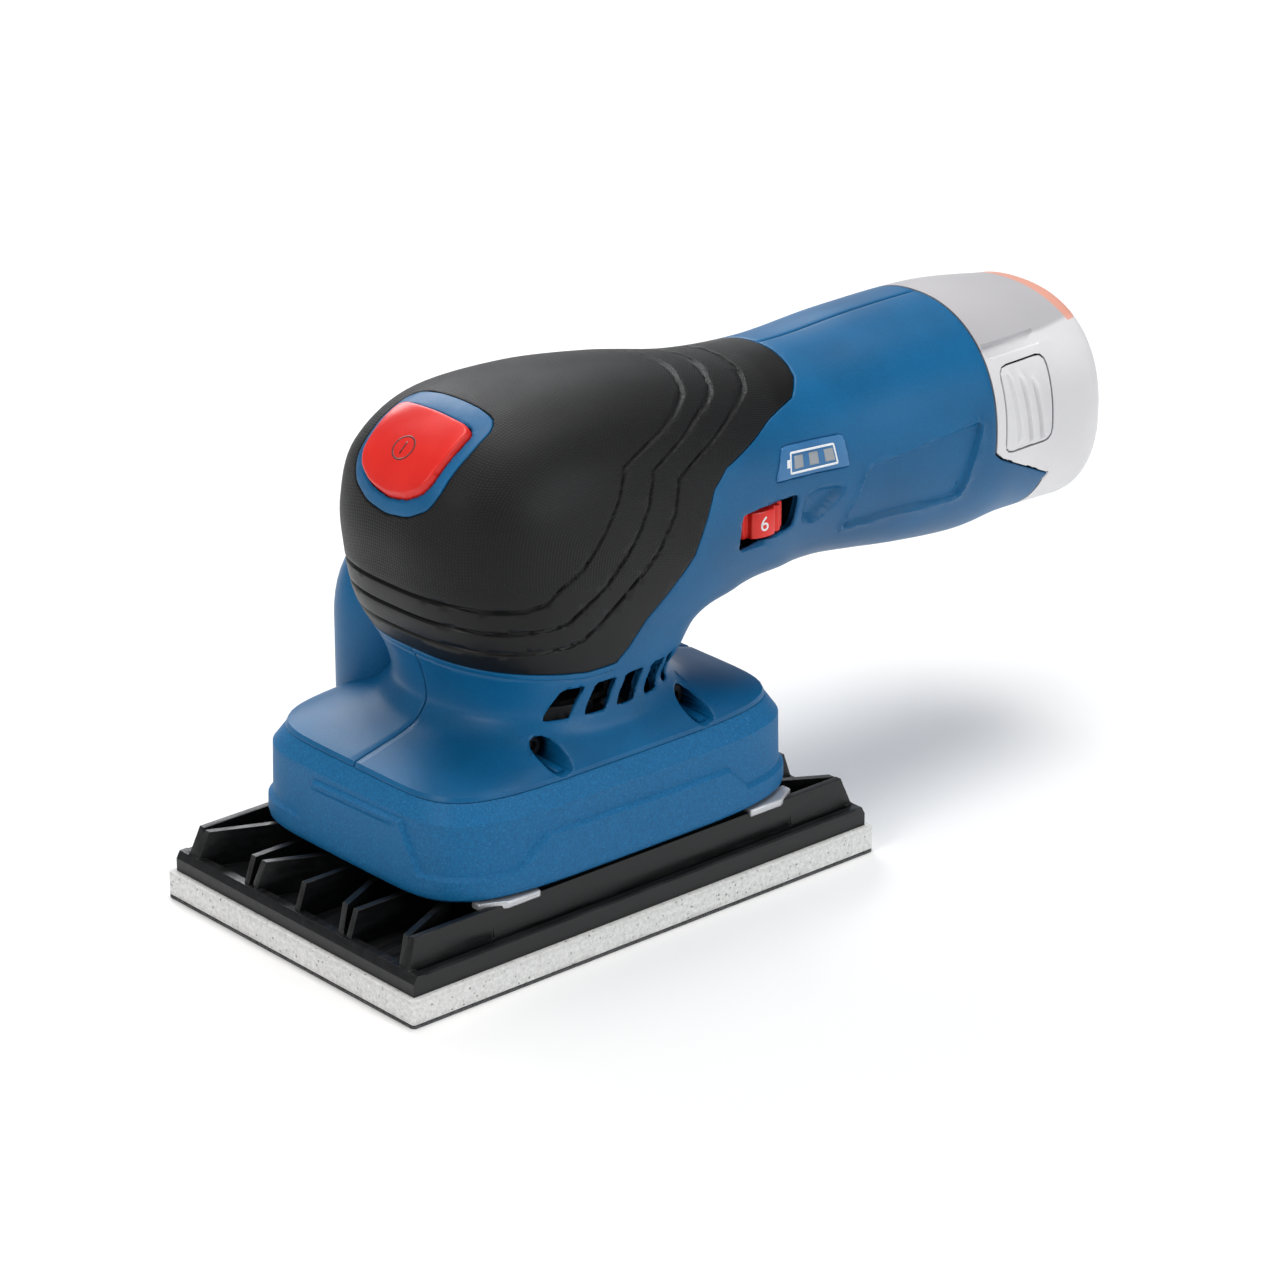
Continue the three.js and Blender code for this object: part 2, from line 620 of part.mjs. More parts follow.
function switchModule() {
  const top = -6 - button.travel - gap;
  const body = join(box(-4, 4, -4, 4, top - 4.5, top - 0.8), disc(1.6, top - 1, top, 0, 0, 14));
  return solid(geometryOf(body).applyMatrix4(buttonFrame));
}

// Five slanted air slots low on the neck: [upper x, lower x, width]
const vents = [[-8.5, -12, 5.4], [-0.5, -3.2, 5.4], [7.3, 4.8, 4.9], [14.6, 12.6, 4.3], [18.9, 18.8, 2.4]];

function ventTools() {
  return vents.map(([upper, lower, width]) => prism([
    [lower - width / 2, neck.top + 1.3], [lower + width / 2, neck.top + 1.3],
    [upper + width / 2, neck.top + 7.7], [upper - width / 2, neck.top + 7.7],
  ], 'xz', -60, 60));
}

const dialWindow = [[35.4, 72.7], [53, 72.9], [54.6, 80], [36.6, 80.3]];
const chargeWindow = [[46.9, 84.6], [70, 82.2], [69, 89.4], [50.4, 91.2]];
const lipOutline = [
  [tail.end - 6, tail.axis - 40], [tail.end + lip.length - 1, tail.axis - 40],
  [tail.end + lip.length - 1, lip.top - 1.8], [tail.end + lip.length, lip.top],
  [tail.end + 2, lip.shoulder], [tail.end - 6, lip.shoulder + 0.4],
];

// Screws that close the housing: [x, z, side of the head, depth of the head from the middle]
const housingScrews = [
  [motorX - 19.5, screwZ, -1, 20.5], [motorX + 19.5, screwZ, -1, 20.5],
  [39, 65.6, 1, 17.5], [58, 63, 1, 13], [61.5, 94.5, 1, 15],
];

function housingShell() {
  const lipShell = capLoft(0).subtract(capLoft(lip.wall)).intersect(prism(lipOutline, 'xz', -60, 60));
  let outer = join(bodyLoft(0), roofLoft(0));
  outer = outer.intersect(box(-80, 200, -80, 80, roof.edge, 200));
  let shell = outer.subtract(bodyLoft('wall', 4)).subtract(roofLoft(wall.neck)).add(lipShell);
  const recess = bodyLoft(-2).subtract(bodyLoft(gripThick + gap));
  const gripTool = prism(grow(gripOutline, gap), 'xz', -60, 60);
  shell = shell.subtract(recess.intersect(gripTool));
  shell = shell.subtract(buttonPrism(buttonHalf, gap + 0.3, -15, 25));
  const windowRecess = bodyLoft(-2).subtract(bodyLoft(1.5));
  const windowTool = prism(grow(chargeWindow, gap), 'xz', -60, 0);
  shell = cut(shell, ...ventTools(), prism(dialWindow, 'xz', -60, 0), windowRecess.intersect(windowTool));
  shell = shell.subtract(prism([[54, 84.5], [65, 84.5], [65, 88.5], [54, 88.5]], 'xz', -60, 0));
  return cut(shell, rodAlongX(stem.radius + gap, 0, stem.axis, stem.front - 1, tail.end + 40, 28));
}

function bossTools(side) {
  const bosses = [];
  const bores = [];
  for (const [x, z, headSide, depth] of housingScrews) {
    const length = side === headSide ? depth : 12;
    const [from, to] = side < 0 ? [-length, -gap / 2] : [gap / 2, length];
    bosses.push(rodAlongY(screw.boss, x, z, side < 0 ? -30 : from, side < 0 ? to : 30));
    bores.push(rodAlongY(screw.shank + gap, x, z, from - 0.2, to + 0.2, 10));
    if (side === headSide) {
      const [a, b] = side < 0 ? [-60, -depth] : [depth, 60];
      bores.push(rodAlongY(screw.head + gap, x, z, a, b));
    }
  }
  return { bosses, bores };
}

function housingHalf(side, shell, outerSkin) {
  const half = side < 0 ? box(-80, 200, -80, -gap / 2, 0, 200) : box(-80, 200, gap / 2, 80, 0, 200);
  const { bosses, bores } = bossTools(side);
  const inside = join(...bosses).intersect(outerSkin);
  return cut(shell.intersect(half).add(inside), ...bores);
}

function skirtShell() {
  const outer = skirtLoft(0);
  const inner = skirtLoft(wall.skirt, 3);
  const deckBase = deckTop - skirt.deck;
  const deck = skirtLoft(wall.skirt - 0.4).intersect(box(-80, 80, -60, 60, deckBase, deckTop));
  let body = outer.subtract(inner).add(deck.subtract(disc(14, deckBase - 1, deckTop + 1, motorX, 0, 28)));
  for (const [x, y] of footPlaces(motorX)) {
    body = body.add(disc(foot.radius + orbit + 2.7, skirt.base + 7.5, deckTop - 0.5, x, y, 14));
  }
  for (const [x, y] of footPlaces(motorX)) {
    body = body.subtract(disc(foot.radius + orbit + 0.9, skirt.base, deckBase + 0.1, x, y, 14));
  }
  return body.subtract(box(duct.x - 5, duct.x + 6, 28, 60, skirt.base + 8, deckBase - 1));
}

// ---- dust duct on the far side

function ductTube(radius, low, high) {
  const path = new THREE.CurvePath();
  const start = axisVector(duct.x, duct.y, low);
  const bendStart = axisVector(duct.x, duct.y, duct.elbow);
  const bendEnd = axisVector(duct.x + duct.bend, duct.y, duct.elbow + duct.bend);
  const corner = axisVector(duct.x, duct.y, duct.elbow + duct.bend);
  path.add(new THREE.LineCurve3(start, bendStart));
  path.add(new THREE.QuadraticBezierCurve3(bendStart, corner, bendEnd));
  path.add(new THREE.LineCurve3(bendEnd, axisVector(high, duct.y, duct.elbow + duct.bend)));
  const shape = new THREE.Shape(circle(radius, 0, 0, 16).map(([u, v]) => new THREE.Vector2(u, v)));
  return solid(new THREE.ExtrudeGeometry(shape, { steps: 12, extrudePath: path, bevelEnabled: false }));
}

function dustDuct() {
  const collar = rodAlongX(duct.radius + 1, duct.y, duct.elbow + duct.bend, duct.port - 5, duct.port, 20);
  const tube = ductTube(duct.radius, duct.base, duct.port).add(collar);
  const hollow = ductTube(duct.radius - duct.wall, duct.base + duct.wall, duct.port + 4);
  const clear = join(bodyLoft(-gap), roofLoft(-gap), skirtLoft(-gap));
  return tube.subtract(hollow).subtract(clear);
}

// ---- speed dial, electronics

function speedWheel() {
  const outline = [];
  for (let i = 0; i < dial.ridges; i += 1) {
    for (const [share, depth] of [[0, 0], [0.55, 0], [0.7, 0.7], [0.85, 0.7]]) {
      const angle = (2 * Math.PI * (i + share)) / dial.ridges;
      const radius = dial.radius - depth;
      outline.push([dial.x + radius * Math.cos(angle), dial.y + radius * Math.sin(angle)]);
    }
  }
  return prism(outline, 'xy', dial.base, dial.base + dial.height, [circle(1.8, dial.x, dial.y, 16)]);
}

function dialPotentiometer() {
  const low = dial.base + dial.height + gap;
  return join(
    box(dial.x - 3, dial.x + 3, dial.y - 3, dial.y + 3, low, low + 4),
    disc(1.5, dial.base, low + 1, dial.x, dial.y, 16),
  );
}

function controlBoard() {
  let body = box(34, 57, -15, -13.4, 84.2, 95);
  for (const [x, size] of [[38, 3], [45, 4], [52, 3]]) {
    body = body.add(box(x - size / 2, x + size / 2, -13.6, -11.4, 90 - size / 2, 90 + size / 2));
  }
  return body;
}

function chargeLens() {
  const layer = bodyLoft(-0.2).subtract(bodyLoft(1.2));
  return layer.intersect(prism(chargeWindow, 'xz', -60, 0));
}

// ---- battery

function cellPlaces() {
  return [0, 1, 2].map((i) => {
    const angle = Math.PI / 2 + (2 * Math.PI * i) / 3;
    return [cell.pitch * Math.cos(angle), stem.axis + cell.pitch * Math.sin(angle)];
  });
}

function batteryCell(y, z) {
  const end = stem.front + 6;
  const body = turned([
    [0, 0], [3, 0], [3, 1], [cell.radius - 1, 1], [cell.radius, 2], [cell.radius, cell.length - 0.8],
    [cell.radius - 0.8, cell.length], [0, cell.length],
  ], 0, 0, 14);
  return solid(geometryOf(body).rotateY(Math.PI / 2).translate(end, y, z));
}

function batteryStem() {
  const rear = tail.end + 3.7;
  const tube = rodAlongX(stem.radius, 0, stem.axis, stem.front, rear, 28);
  const hollow = rodAlongX(stem.radius - stem.wall, 0, stem.axis, stem.front + 1.6, rear + 1, 28);
  const slots = [-6, 6].map((y) => box(stem.front - 1, stem.front + 3, y - 0.9, y + 0.9, 73, 85.5));
  return cut(tube, hollow, ...slots);
}

// Inside the lip the cap keeps one section, so that it draws straight out.
function lipCore() {
  const row = smoothSections(capSections, 2).find(([x]) => x > tail.end + lip.length);
  const ringAt = (x) => sectionRing([x, row[1], x, ...row.slice(3)], lip.wall + gap);
  return loft([ringAt(tail.end - 1), ringAt(row[0])]);
}

function batteryCap() {
  const front = tail.end + gap + seat;
  const slice = box(front, cap.end + 10, -60, 60, 0, 200);
  const outside = capLoft(0).subtract(prism(grow(lipOutline, gap), 'xz', -60, 60));
  let body = join(outside, lipCore()).intersect(slice);
  body = body.subtract(rodAlongX(stem.radius + gap, 0, stem.axis, front - 5, tail.end + 4, 28));
  body = body.subtract(rodAlongX(stem.radius - 1, 0, stem.axis, front - 5, cap.end - cap.wall, 28));
  return cut(body, latchPrism(-1, gap, latch.reach), latchPrism(1, gap, latch.reach));
}

function latchPrism(side, margin, reach = 4) {
  const outline = roundedRect(latch.width / 2 + margin, latch.height / 2 + margin, 2.5, latch.x, latch.z, 3);
  const inner = stem.radius - reach;
  return side < 0 ? prism(outline, 'xz', -60, -inner) : prism(outline, 'xz', inner, 60);
}

function latchButton(side) {
  const face = capLoft(0).subtract(capLoft(latch.thick));
  let body = face.intersect(latchPrism(side, 0));
  for (let i = 0; i < latch.ribs; i += 1) {
    const x = latch.x + (i - (latch.ribs - 1) / 2) * latch.pitch;
    const outline = roundedRect(0.7, latch.height / 2 - 4, 0.6, x, latch.z, 1);
    const bar = side < 0 ? prism(outline, 'xz', -60, 0) : prism(outline, 'xz', 0, 60);
    body = body.add(capLoft(-0.7).subtract(capLoft(0.6)).intersect(bar));
  }
  return body;
}

function terminalBlock() {
  return join(box(62.5, 69.5, -9, 9, 72, 88), box(60, 63, -5, 5, 76, 84));
}

function contactBlade(y) {
  return box(69.5 + gap, stem.front + 4.5, y - 0.4, y + 0.4, 74.2, 84.2);
}

// ---- assembly

const model = new THREE.Group();

function addPiece(name, body, colour, roughness = 0.6, metalness = 0) {
  const material = new THREE.MeshStandardMaterial({ color: colour, roughness, metalness });
  const mesh = new THREE.Mesh(geometryOf(body), material);
  mesh.name = name;
  model.add(mesh);
}

function addPad() {
  addPiece('hook_facing', padSlab(0, pad.facing), colours.felt, 0.95);
  addPiece('foam_pad', padSlab(foamBase, foamBase + pad.foam), colours.foam, 0.95);
  addPiece('base_plate', basePlate(), colours.black, 0.55);
  addPiece('carrier_plate', carrierPlate(), colours.steel, 0.35, 1);
  footPlaces(pinX).forEach(([x, y], i) => addPiece(`elastic_foot_${i + 1}`, elasticFoot(x, y), colours.rubber, 0.8));
  plateScrewPlaces().forEach(([x, y], i) => {
    addPiece(`plate_screw_${i + 1}`, plateScrewBody(x, y), colours.darkSteel, 0.4, 1);
  });
  const outerRace = bearingRing(padBearing.radius, padBearing.pin, padBearingBase, padBearing.height, pinX);
  addPiece('pad_bearing', outerRace, colours.steel, 0.3, 1);
}

function addDrive() {
  const upperWinding = stator.base + stator.height + 0.2;
  addPiece('eccentric_hub', eccentricHub(), colours.darkSteel, 0.4, 1);
  addPiece('counterweight', counterweight(), colours.darkSteel, 0.5, 1);
  addPiece('motor_shaft', motorShaft(), colours.steel, 0.3, 1);
  addPiece('rotor_core', rotorCore(), colours.darkSteel, 0.5, 1);
  addPiece('cooling_fan', coolingFan(), colours.black, 0.6);
  addPiece('stator_core', statorCore(), colours.alu, 0.5, 1);
  addPiece('winding_lower', windingRing(stator.base - winding.height - 0.2), colours.copper, 0.4, 1);
  addPiece('winding_upper', windingRing(upperWinding), colours.copper, 0.4, 1);
  addPiece('bearing_bridge', shieldPlate(bridgeBase, shield.radius), colours.alu, 0.5, 1);
  addPiece('top_shield', shieldPlate(topShieldBase, shield.radius - 1), colours.alu, 0.5, 1);
  addPiece('lower_bearing', shieldBearing(bridgeBase), colours.steel, 0.3, 1);
  addPiece('upper_bearing', shieldBearing(topShieldBase), colours.steel, 0.3, 1);
}

function addHousing() {
  const shell = housingShell();
  const skin = bodyLoft(wall.neck).add(roofLoft(1));
  addPiece('housing_right', housingHalf(-1, shell, skin), colours.blue, 0.45);
  addPiece('housing_left', housingHalf(1, shell, skin), colours.blue, 0.45);
  addPiece('skirt', skirtShell(), colours.blue, 0.6);
  addPiece('soft_grip', softGrip(), colours.rubber, 0.75);
  addPiece('switch_bezel', switchBezel(), colours.blue, 0.45);
  addPiece('power_button', powerButton(), colours.red, 0.4);
  addPiece('switch_module', switchModule(), colours.black, 0.5);
  addPiece('dust_duct', dustDuct(), colours.blue, 0.5);
  housingScrews.forEach(([x, z, side, depth], i) => {
    const length = depth + 9;
    const body = geometryOf(screwBody(length)).translate(0, 0, depth - length + seat);
    const placed = body.rotateX(side < 0 ? Math.PI / 2 : -Math.PI / 2).translate(x, 0, z);
    addPiece(`housing_screw_${i + 1}`, solid(placed), colours.darkSteel, 0.4, 1);
  });
}

function addElectrics() {
  addPiece('speed_wheel', speedWheel(), colours.red, 0.45);
  addPiece('dial_potentiometer', dialPotentiometer(), colours.black, 0.5);
  addPiece('control_board', controlBoard(), colours.board, 0.5);
  addPiece('charge_lens', chargeLens(), colours.pale, 0.3);
  addPiece('terminal_block', terminalBlock(), colours.black, 0.5);
  addPiece('contact_blade_1', contactBlade(-6), colours.steel, 0.3, 1);
  addPiece('contact_blade_2', contactBlade(6), colours.steel, 0.3, 1);
}

function addBattery() {
  addPiece('battery_stem', batteryStem(), colours.grey, 0.5);
  addPiece('battery_cap', batteryCap(), colours.grey, 0.5);
  cellPlaces().forEach(([y, z], i) => addPiece(`battery_cell_${i + 1}`, batteryCell(y, z), colours.green, 0.4));
  addPiece('latch_right', latchButton(-1), colours.grey, 0.5);
  addPiece('latch_left', latchButton(1), colours.grey, 0.5);
}

addPad();
addDrive();
addHousing();
addElectrics();
addBattery();

export default model;
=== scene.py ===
import math

import bmesh
import bpy
import numpy as np
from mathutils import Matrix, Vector
from mathutils.bvhtree import BVHTree


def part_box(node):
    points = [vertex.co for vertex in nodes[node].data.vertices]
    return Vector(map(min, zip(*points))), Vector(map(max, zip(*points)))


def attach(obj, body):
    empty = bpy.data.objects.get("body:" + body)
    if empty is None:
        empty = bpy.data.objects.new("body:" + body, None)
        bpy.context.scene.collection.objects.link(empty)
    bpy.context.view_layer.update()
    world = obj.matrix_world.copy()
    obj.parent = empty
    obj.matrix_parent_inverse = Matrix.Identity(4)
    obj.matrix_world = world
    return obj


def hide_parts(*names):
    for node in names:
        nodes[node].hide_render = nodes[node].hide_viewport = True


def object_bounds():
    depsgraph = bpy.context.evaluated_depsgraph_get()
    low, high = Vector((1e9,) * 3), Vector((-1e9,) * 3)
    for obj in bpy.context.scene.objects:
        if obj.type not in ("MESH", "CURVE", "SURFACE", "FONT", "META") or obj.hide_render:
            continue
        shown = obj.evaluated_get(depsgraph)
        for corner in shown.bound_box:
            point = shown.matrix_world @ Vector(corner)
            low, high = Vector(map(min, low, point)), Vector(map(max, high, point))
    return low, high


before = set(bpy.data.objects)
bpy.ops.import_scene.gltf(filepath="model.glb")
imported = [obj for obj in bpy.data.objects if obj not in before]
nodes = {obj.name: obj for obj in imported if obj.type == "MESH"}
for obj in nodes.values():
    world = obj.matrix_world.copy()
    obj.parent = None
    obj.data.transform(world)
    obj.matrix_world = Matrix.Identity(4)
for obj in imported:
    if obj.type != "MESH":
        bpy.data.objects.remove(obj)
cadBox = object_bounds()
mm = 0.001  # shapes are drawn in millimetres and brought to metres when they are finished

# ---------- camera, floor and light ----------

studio = {
    "cameraPlace": (-0.61738, -0.73800, 0.45720), "cameraTurn": (67.251, 0.0, -41.38), "lens": 140.6,
    "floorSize": 6.0, "floorColour": (0.88, 0.88, 0.88, 1), "air": (0.95, 0.97, 1.0, 1), "airStrength": 0.28,
}
softBoxes = [  # name, place, width, height, watts, colour
    ("topBox", (0.15, 0.1, 1.3), 0.9, 0.9, 13.0, (1.0, 0.99, 0.97)),
    ("keyBox", (-1.3, -0.15, 0.85), 0.4, 0.9, 7.0, (1.0, 0.98, 0.95)),
    ("sideBox", (0.45, -1.4, 0.55), 0.9, 0.35, 7.5, (0.97, 0.99, 1.0)),
    ("rimBox", (0.5, 1.2, 0.8), 0.9, 0.4, 9.0, (0.97, 0.98, 1.0)),
]


def aimAt(thing, target):
    thing.rotation_euler = (Vector(target) - thing.location).to_track_quat("-Z", "Y").to_euler()


def buildStudio():
    scene = bpy.context.scene
    lens = bpy.data.cameras.new("studioCamera")
    lens.lens = studio["lens"]
    lens.sensor_width = 36
    lens.clip_start, lens.clip_end = 0.01, 50
    camera = bpy.data.objects.new("studioCamera", lens)
    camera.location = studio["cameraPlace"]
    camera.rotation_euler = [math.radians(a) for a in studio["cameraTurn"]]
    scene.collection.objects.link(camera)
    scene.camera = camera
    for name, place, width, height, watts, colour in softBoxes:
        lamp = bpy.data.lights.new(name, "AREA")
        lamp.shape = "RECTANGLE"
        lamp.size, lamp.size_y = width, height
        lamp.energy = watts
        lamp.color = colour
        box = bpy.data.objects.new(name, lamp)
        box.location = place
        aimAt(box, (0.03, 0, 0.05))
        scene.collection.objects.link(box)
    world = bpy.data.worlds.new("paleAir")
    world.use_nodes = True
    world.node_tree.nodes["Background"].inputs["Color"].default_value = studio["air"]
    world.node_tree.nodes["Background"].inputs["Strength"].default_value = studio["airStrength"]
    scene.world = world
    scene.view_settings.view_transform = "Standard"
    bm = bmesh.new()
    bmesh.ops.create_grid(bm, x_segments=1, y_segments=1, size=studio["floorSize"])
    mesh = bpy.data.meshes.new("paleFloor")
    bm.to_mesh(mesh)
    bm.free()
    floor = bpy.data.objects.new("paleFloor", mesh)
    floor.location = (0, 0, cadBox[0].z)
    scene.collection.objects.link(floor)
    floorFinish = Finish("paleFloorPaint")
    floorFinish.shader(colour=studio["floorColour"], roughness=0.7)
    mesh.materials.append(floorFinish.material)


# ---------- finishes ----------


class Signal:  # a shader socket that takes part in sums
    def __init__(self, finish, socket):
        self.finish = finish
        self.socket = socket

    def maths(self, operation, *inputs):
        return self.finish.add("ShaderNodeMath", {"operation": operation}, dict(enumerate(inputs))).out(0)

    def __add__(self, other):
        return self.maths("ADD", self, other)

    def __sub__(self, other):
        return self.maths("SUBTRACT", self, other)

    def __rsub__(self, other):
        return self.maths("SUBTRACT", other, self)

    def __mul__(self, other):
        return self.maths("MULTIPLY", self, other)

    __radd__ = __add__
    __rmul__ = __mul__

    def sine(self):
        return self.maths("SINE", self)

    def size(self):
        return self.maths("ABSOLUTE", self)

    def ramp(self, low, high):  # 0 below low, 1 above high
        values = {"Value": self, "From Min": low, "From Max": high}
        return self.finish.add("ShaderNodeMapRange", {"interpolation_type": "SMOOTHSTEP"}, values).out(0)


class Made:  # a new node, whose outputs are signals
    def __init__(self, finish, node):
        self.finish = finish
        self.node = node

    def out(self, key):
        return Signal(self.finish, self.node.outputs[key])


class Finish:  # one material under construction
    def __init__(self, name):
        self.material = bpy.data.materials.new(name)
        self.material.use_nodes = True
        self.tree = self.material.node_tree
        self.tree.nodes.clear()
        spots = self.add("ShaderNodeTexCoord")
        self.place, self.flat = spots.out("Object"), spots.out("UV")

    def add(self, kind, settings=None, values=None):
        node = self.tree.nodes.new(kind)
        for key, value in (settings or {}).items():
            setattr(node, key, value)
        for key, value in (values or {}).items():
            if isinstance(value, Signal):
                self.tree.links.new(value.socket, node.inputs[key])
            else:
                node.inputs[key].default_value = value
        return Made(self, node)

    def stretched(self, scale, turn=(0, 0, 0)):
        values = {"Vector": self.place, "Scale": scale, "Rotation": turn}
        return self.add("ShaderNodeMapping", {}, values).out(0)

    def noise(self, scale, detail=2.0, rough=0.5, place=None):
        values = {"Vector": place or self.place, "Scale": scale, "Detail": detail, "Roughness": rough}
        return self.add("ShaderNodeTexNoise", {}, values).out("Fac")

    def cells(self, scale):
        return self.add("ShaderNodeTexVoronoi", {}, {"Vector": self.place, "Scale": scale}).out("Distance")

    def parts(self, place=None):
        split = self.add("ShaderNodeSeparateXYZ", {}, {"Vector": place or self.place})
        return [split.out(axis) for axis in "XYZ"]

    def blend(self, share, *colours):  # a colour is a signal or a display colour
        first, second = (rgb(*c) if isinstance(c, tuple) else c for c in colours)
        sockets = {0: share, 6: first, 7: second}  # the factor and the two colours of the RGBA kind
        return self.add("ShaderNodeMix", {"data_type": "RGBA"}, sockets).out(2)

    def shader(self, colour, roughness, metallic=0.0, relief=None, **fixed):
        # relief is a height, its depth in mm and its strength
        values = {"Base Color": colour, "Roughness": roughness, "Metallic": metallic}
        if relief:
            height, depth, strength = relief
            bump = {"Height": height, "Distance": depth * mm, "Strength": strength}
            values["Normal"] = self.add("ShaderNodeBump", {}, bump).out("Normal")
        values.update({key.replace("_", " "): value for key, value in fixed.items()})
        made = self.add("ShaderNodeBsdfPrincipled", {}, values)
        self.add("ShaderNodeOutputMaterial", {}, {"Surface": made.out(0)})
        return self.material


def rgb(red, green, blue):  # display values 0-255 to a linear colour
    def linear(v):
        v = v / 255
        return v / 12.92 if v <= 0.04045 else ((v + 0.055) / 1.055) ** 2.4
    return (linear(red), linear(green), linear(blue), 1.0)


def mouldedPlastic(finish, deep, mid, rough=0.42, grain=0.35, depth=0.05, dust=0.12):
    # grain is the size of the fine spark texture in mm, depth its height in mm
    cloudy = finish.noise(38, 3).ramp(0.3, 0.75)
    fine = finish.noise(1 / (grain * mm), 2, 0.6)
    flecks = finish.cells(0.55 / (grain * mm)).ramp(0.05, 0.4)
    scuffs = finish.noise(260, 4, 0.7, place=finish.stretched((1, 4, 9), (0.3, 0.2, 0.9))).ramp(0.62, 0.8)
    base = finish.blend(cloudy * 0.55 + fine.ramp(0.35, 0.7) * 0.3, deep, mid)
    colour = finish.blend(scuffs * dust * 0.3, base, (150, 175, 198))
    shine = rough + (cloudy - 0.5) * 0.07 + (fine - 0.5) * 0.12 + scuffs * 0.06
    relief = (fine * 0.7 + flecks * 0.3, depth, 0.6)
    return finish.shader(colour, shine, relief=relief, Specular_IOR_Level=0.3)


def sparkPlastic(finish, deep, mid, pale):  # the coarser sandy grain of the skirt
    sand = finish.noise(1800, 3, 0.75)
    broad = finish.noise(60, 3)
    pips = finish.noise(2600, 1, 0.5).ramp(0.62, 0.74)
    base = finish.blend(sand.ramp(0.25, 0.75) * 0.8 + 0.1, deep, mid)
    colour = finish.blend(pips * 0.25, base, pale)
    shine = 0.55 + (broad - 0.5) * 0.12 + (sand - 0.5) * 0.2
    return finish.shader(colour, shine, relief=(sand, 0.08, 0.6), Specular_IOR_Level=0.3)


def gripRubber(finish):
    # micro diamonds inside the third groove, plain satin rubber outside it
    across, along, _ = finish.parts(finish.flat)
    pitch = 2 * math.pi / (1.0 * mm)
    warp = finish.noise(90, 2) * 0.6
    first = ((across + along) * (pitch * 0.7071) + warp).sine()
    second = ((across - along) * (pitch * 0.7071) + warp).sine()
    diamonds = (first * second) * 0.5 + 0.5
    x, _, z = finish.parts()
    inner = z.ramp(0.0745, 0.0785) * (0.062 - (x + (0.107 - z) * 0.62)).ramp(0.0, 0.006)
    fine = finish.noise(1900, 3, 0.65)
    cloudy = finish.noise(34, 4).ramp(0.3, 0.75)
    worn = finish.noise(160, 5, 0.7).ramp(0.55, 0.8)
    dots = diamonds.ramp(0.45, 0.85) * inner
    colour = finish.blend(dots * 0.5 + worn * 0.1, (6, 6, 7), (24, 25, 28))
    shine = 0.43 + (cloudy - 0.5) * 0.1 + worn * 0.05 + inner * 0.08
    height = dots * 0.8 + fine * 0.2
    return finish.shader(colour, shine, relief=(height, 0.09, 0.8), Specular_IOR_Level=0.28)


def keyPlastic(finish, deep, mid):
    fine = finish.noise(2300, 2, 0.5)
    cloudy = finish.noise(70, 3).ramp(0.3, 0.7)
    rubbed = finish.noise(420, 3, 0.6, place=finish.stretched((3, 12, 3))).ramp(0.6, 0.8)
    colour = finish.blend(cloudy * 0.6 + fine * 0.2, deep, mid)
    shine = 0.34 + (cloudy - 0.5) * 0.08 + rubbed * 0.1 + (fine - 0.5) * 0.08
    return finish.shader(colour, shine, relief=(fine, 0.03, 0.5), Coat_Weight=0.08, Specular_IOR_Level=0.35)


def padFoam(finish):
    # pale closed foam with dark pores, darker in patches towards the working face, its top band greyed as
    # painted shade
    pores = finish.cells(900)
    few = finish.noise(520, 3, 0.7).ramp(0.46, 0.62)
    holes = (1 - pores.ramp(0.1, 0.32)) * few
    mottled = finish.noise(1100, 4, 0.75)
    _, _, z = finish.parts()
    # painted shade: the top band of the foam, where the plate sits on it, is greyed to stand in for the shade
    # there
    skin = z.ramp(0.0046, 0.0058)
    # darker in patches towards the bottom of the pad, at the working face
    lowPatches = (1 - z.ramp(0.0006, 0.0022)) * finish.noise(130, 3).ramp(0.35, 0.7)
    base = finish.blend(mottled.ramp(0.3, 0.75), (206, 206, 205), (240, 240, 238))
    lowDarkened = finish.blend(lowPatches * 0.35, base, (120, 118, 114))
    edge = finish.blend(skin * 0.25, lowDarkened, (176, 176, 176))
    colour = finish.blend(holes * 0.75, edge, (96, 94, 92))
    height = mottled * 0.5 - holes * 0.8
    return finish.shader(colour, 0.9 + (mottled - 0.5) * 0.1, relief=(height, 0.25, 0.9))


def hookFelt(finish):
    loops = finish.cells(1500)
    drift = finish.noise(320, 4, 0.7)
    colour = finish.blend(loops.ramp(0.1, 0.6) * 0.6 + drift * 0.3, (34, 34, 36), (96, 96, 98))
    return finish.shader(colour, 0.95, relief=(loops + drift, 0.2, 1.0))


def plateNylon(finish):
    # glass-filled black nylon with flow marks and fibres
    fine = finish.noise(1700, 3, 0.6)
    flow = finish.noise(130, 4, 0.6, place=finish.stretched((1, 5, 5))).ramp(0.35, 0.75)
    fibres = finish.noise(500, 2, place=finish.stretched((1, 12, 12), (0.2, 0.1, 0.5))).ramp(0.62, 0.78)
    colour = finish.blend(flow * 0.5 + fibres * 0.25, (9, 10, 11), (26, 27, 30))
    shine = 0.4 + (flow - 0.5) * 0.12 + (fine - 0.5) * 0.14
    relief = (fine * 0.6 + flow * 0.4, 0.05, 0.7)
    return finish.shader(colour, shine, relief=relief, Specular_IOR_Level=0.4)


def brushedMetal(finish, deep, mid, rough=0.3, turn=(0, 0, 0), metallic=1.0):
    brushing = finish.noise(260, 3, 0.6, place=finish.stretched((1, 40, 40), turn))
    spots = finish.noise(300, 4, 0.7).ramp(0.55, 0.8)
    colour = finish.blend(brushing.ramp(0.3, 0.7) * 0.7 + spots * 0.2, deep, mid)
    shine = rough + (brushing - 0.5) * 0.2 + spots * 0.08
    relief = (brushing, 0.02, 0.6)
    return finish.shader(colour, shine, metallic, relief=relief)


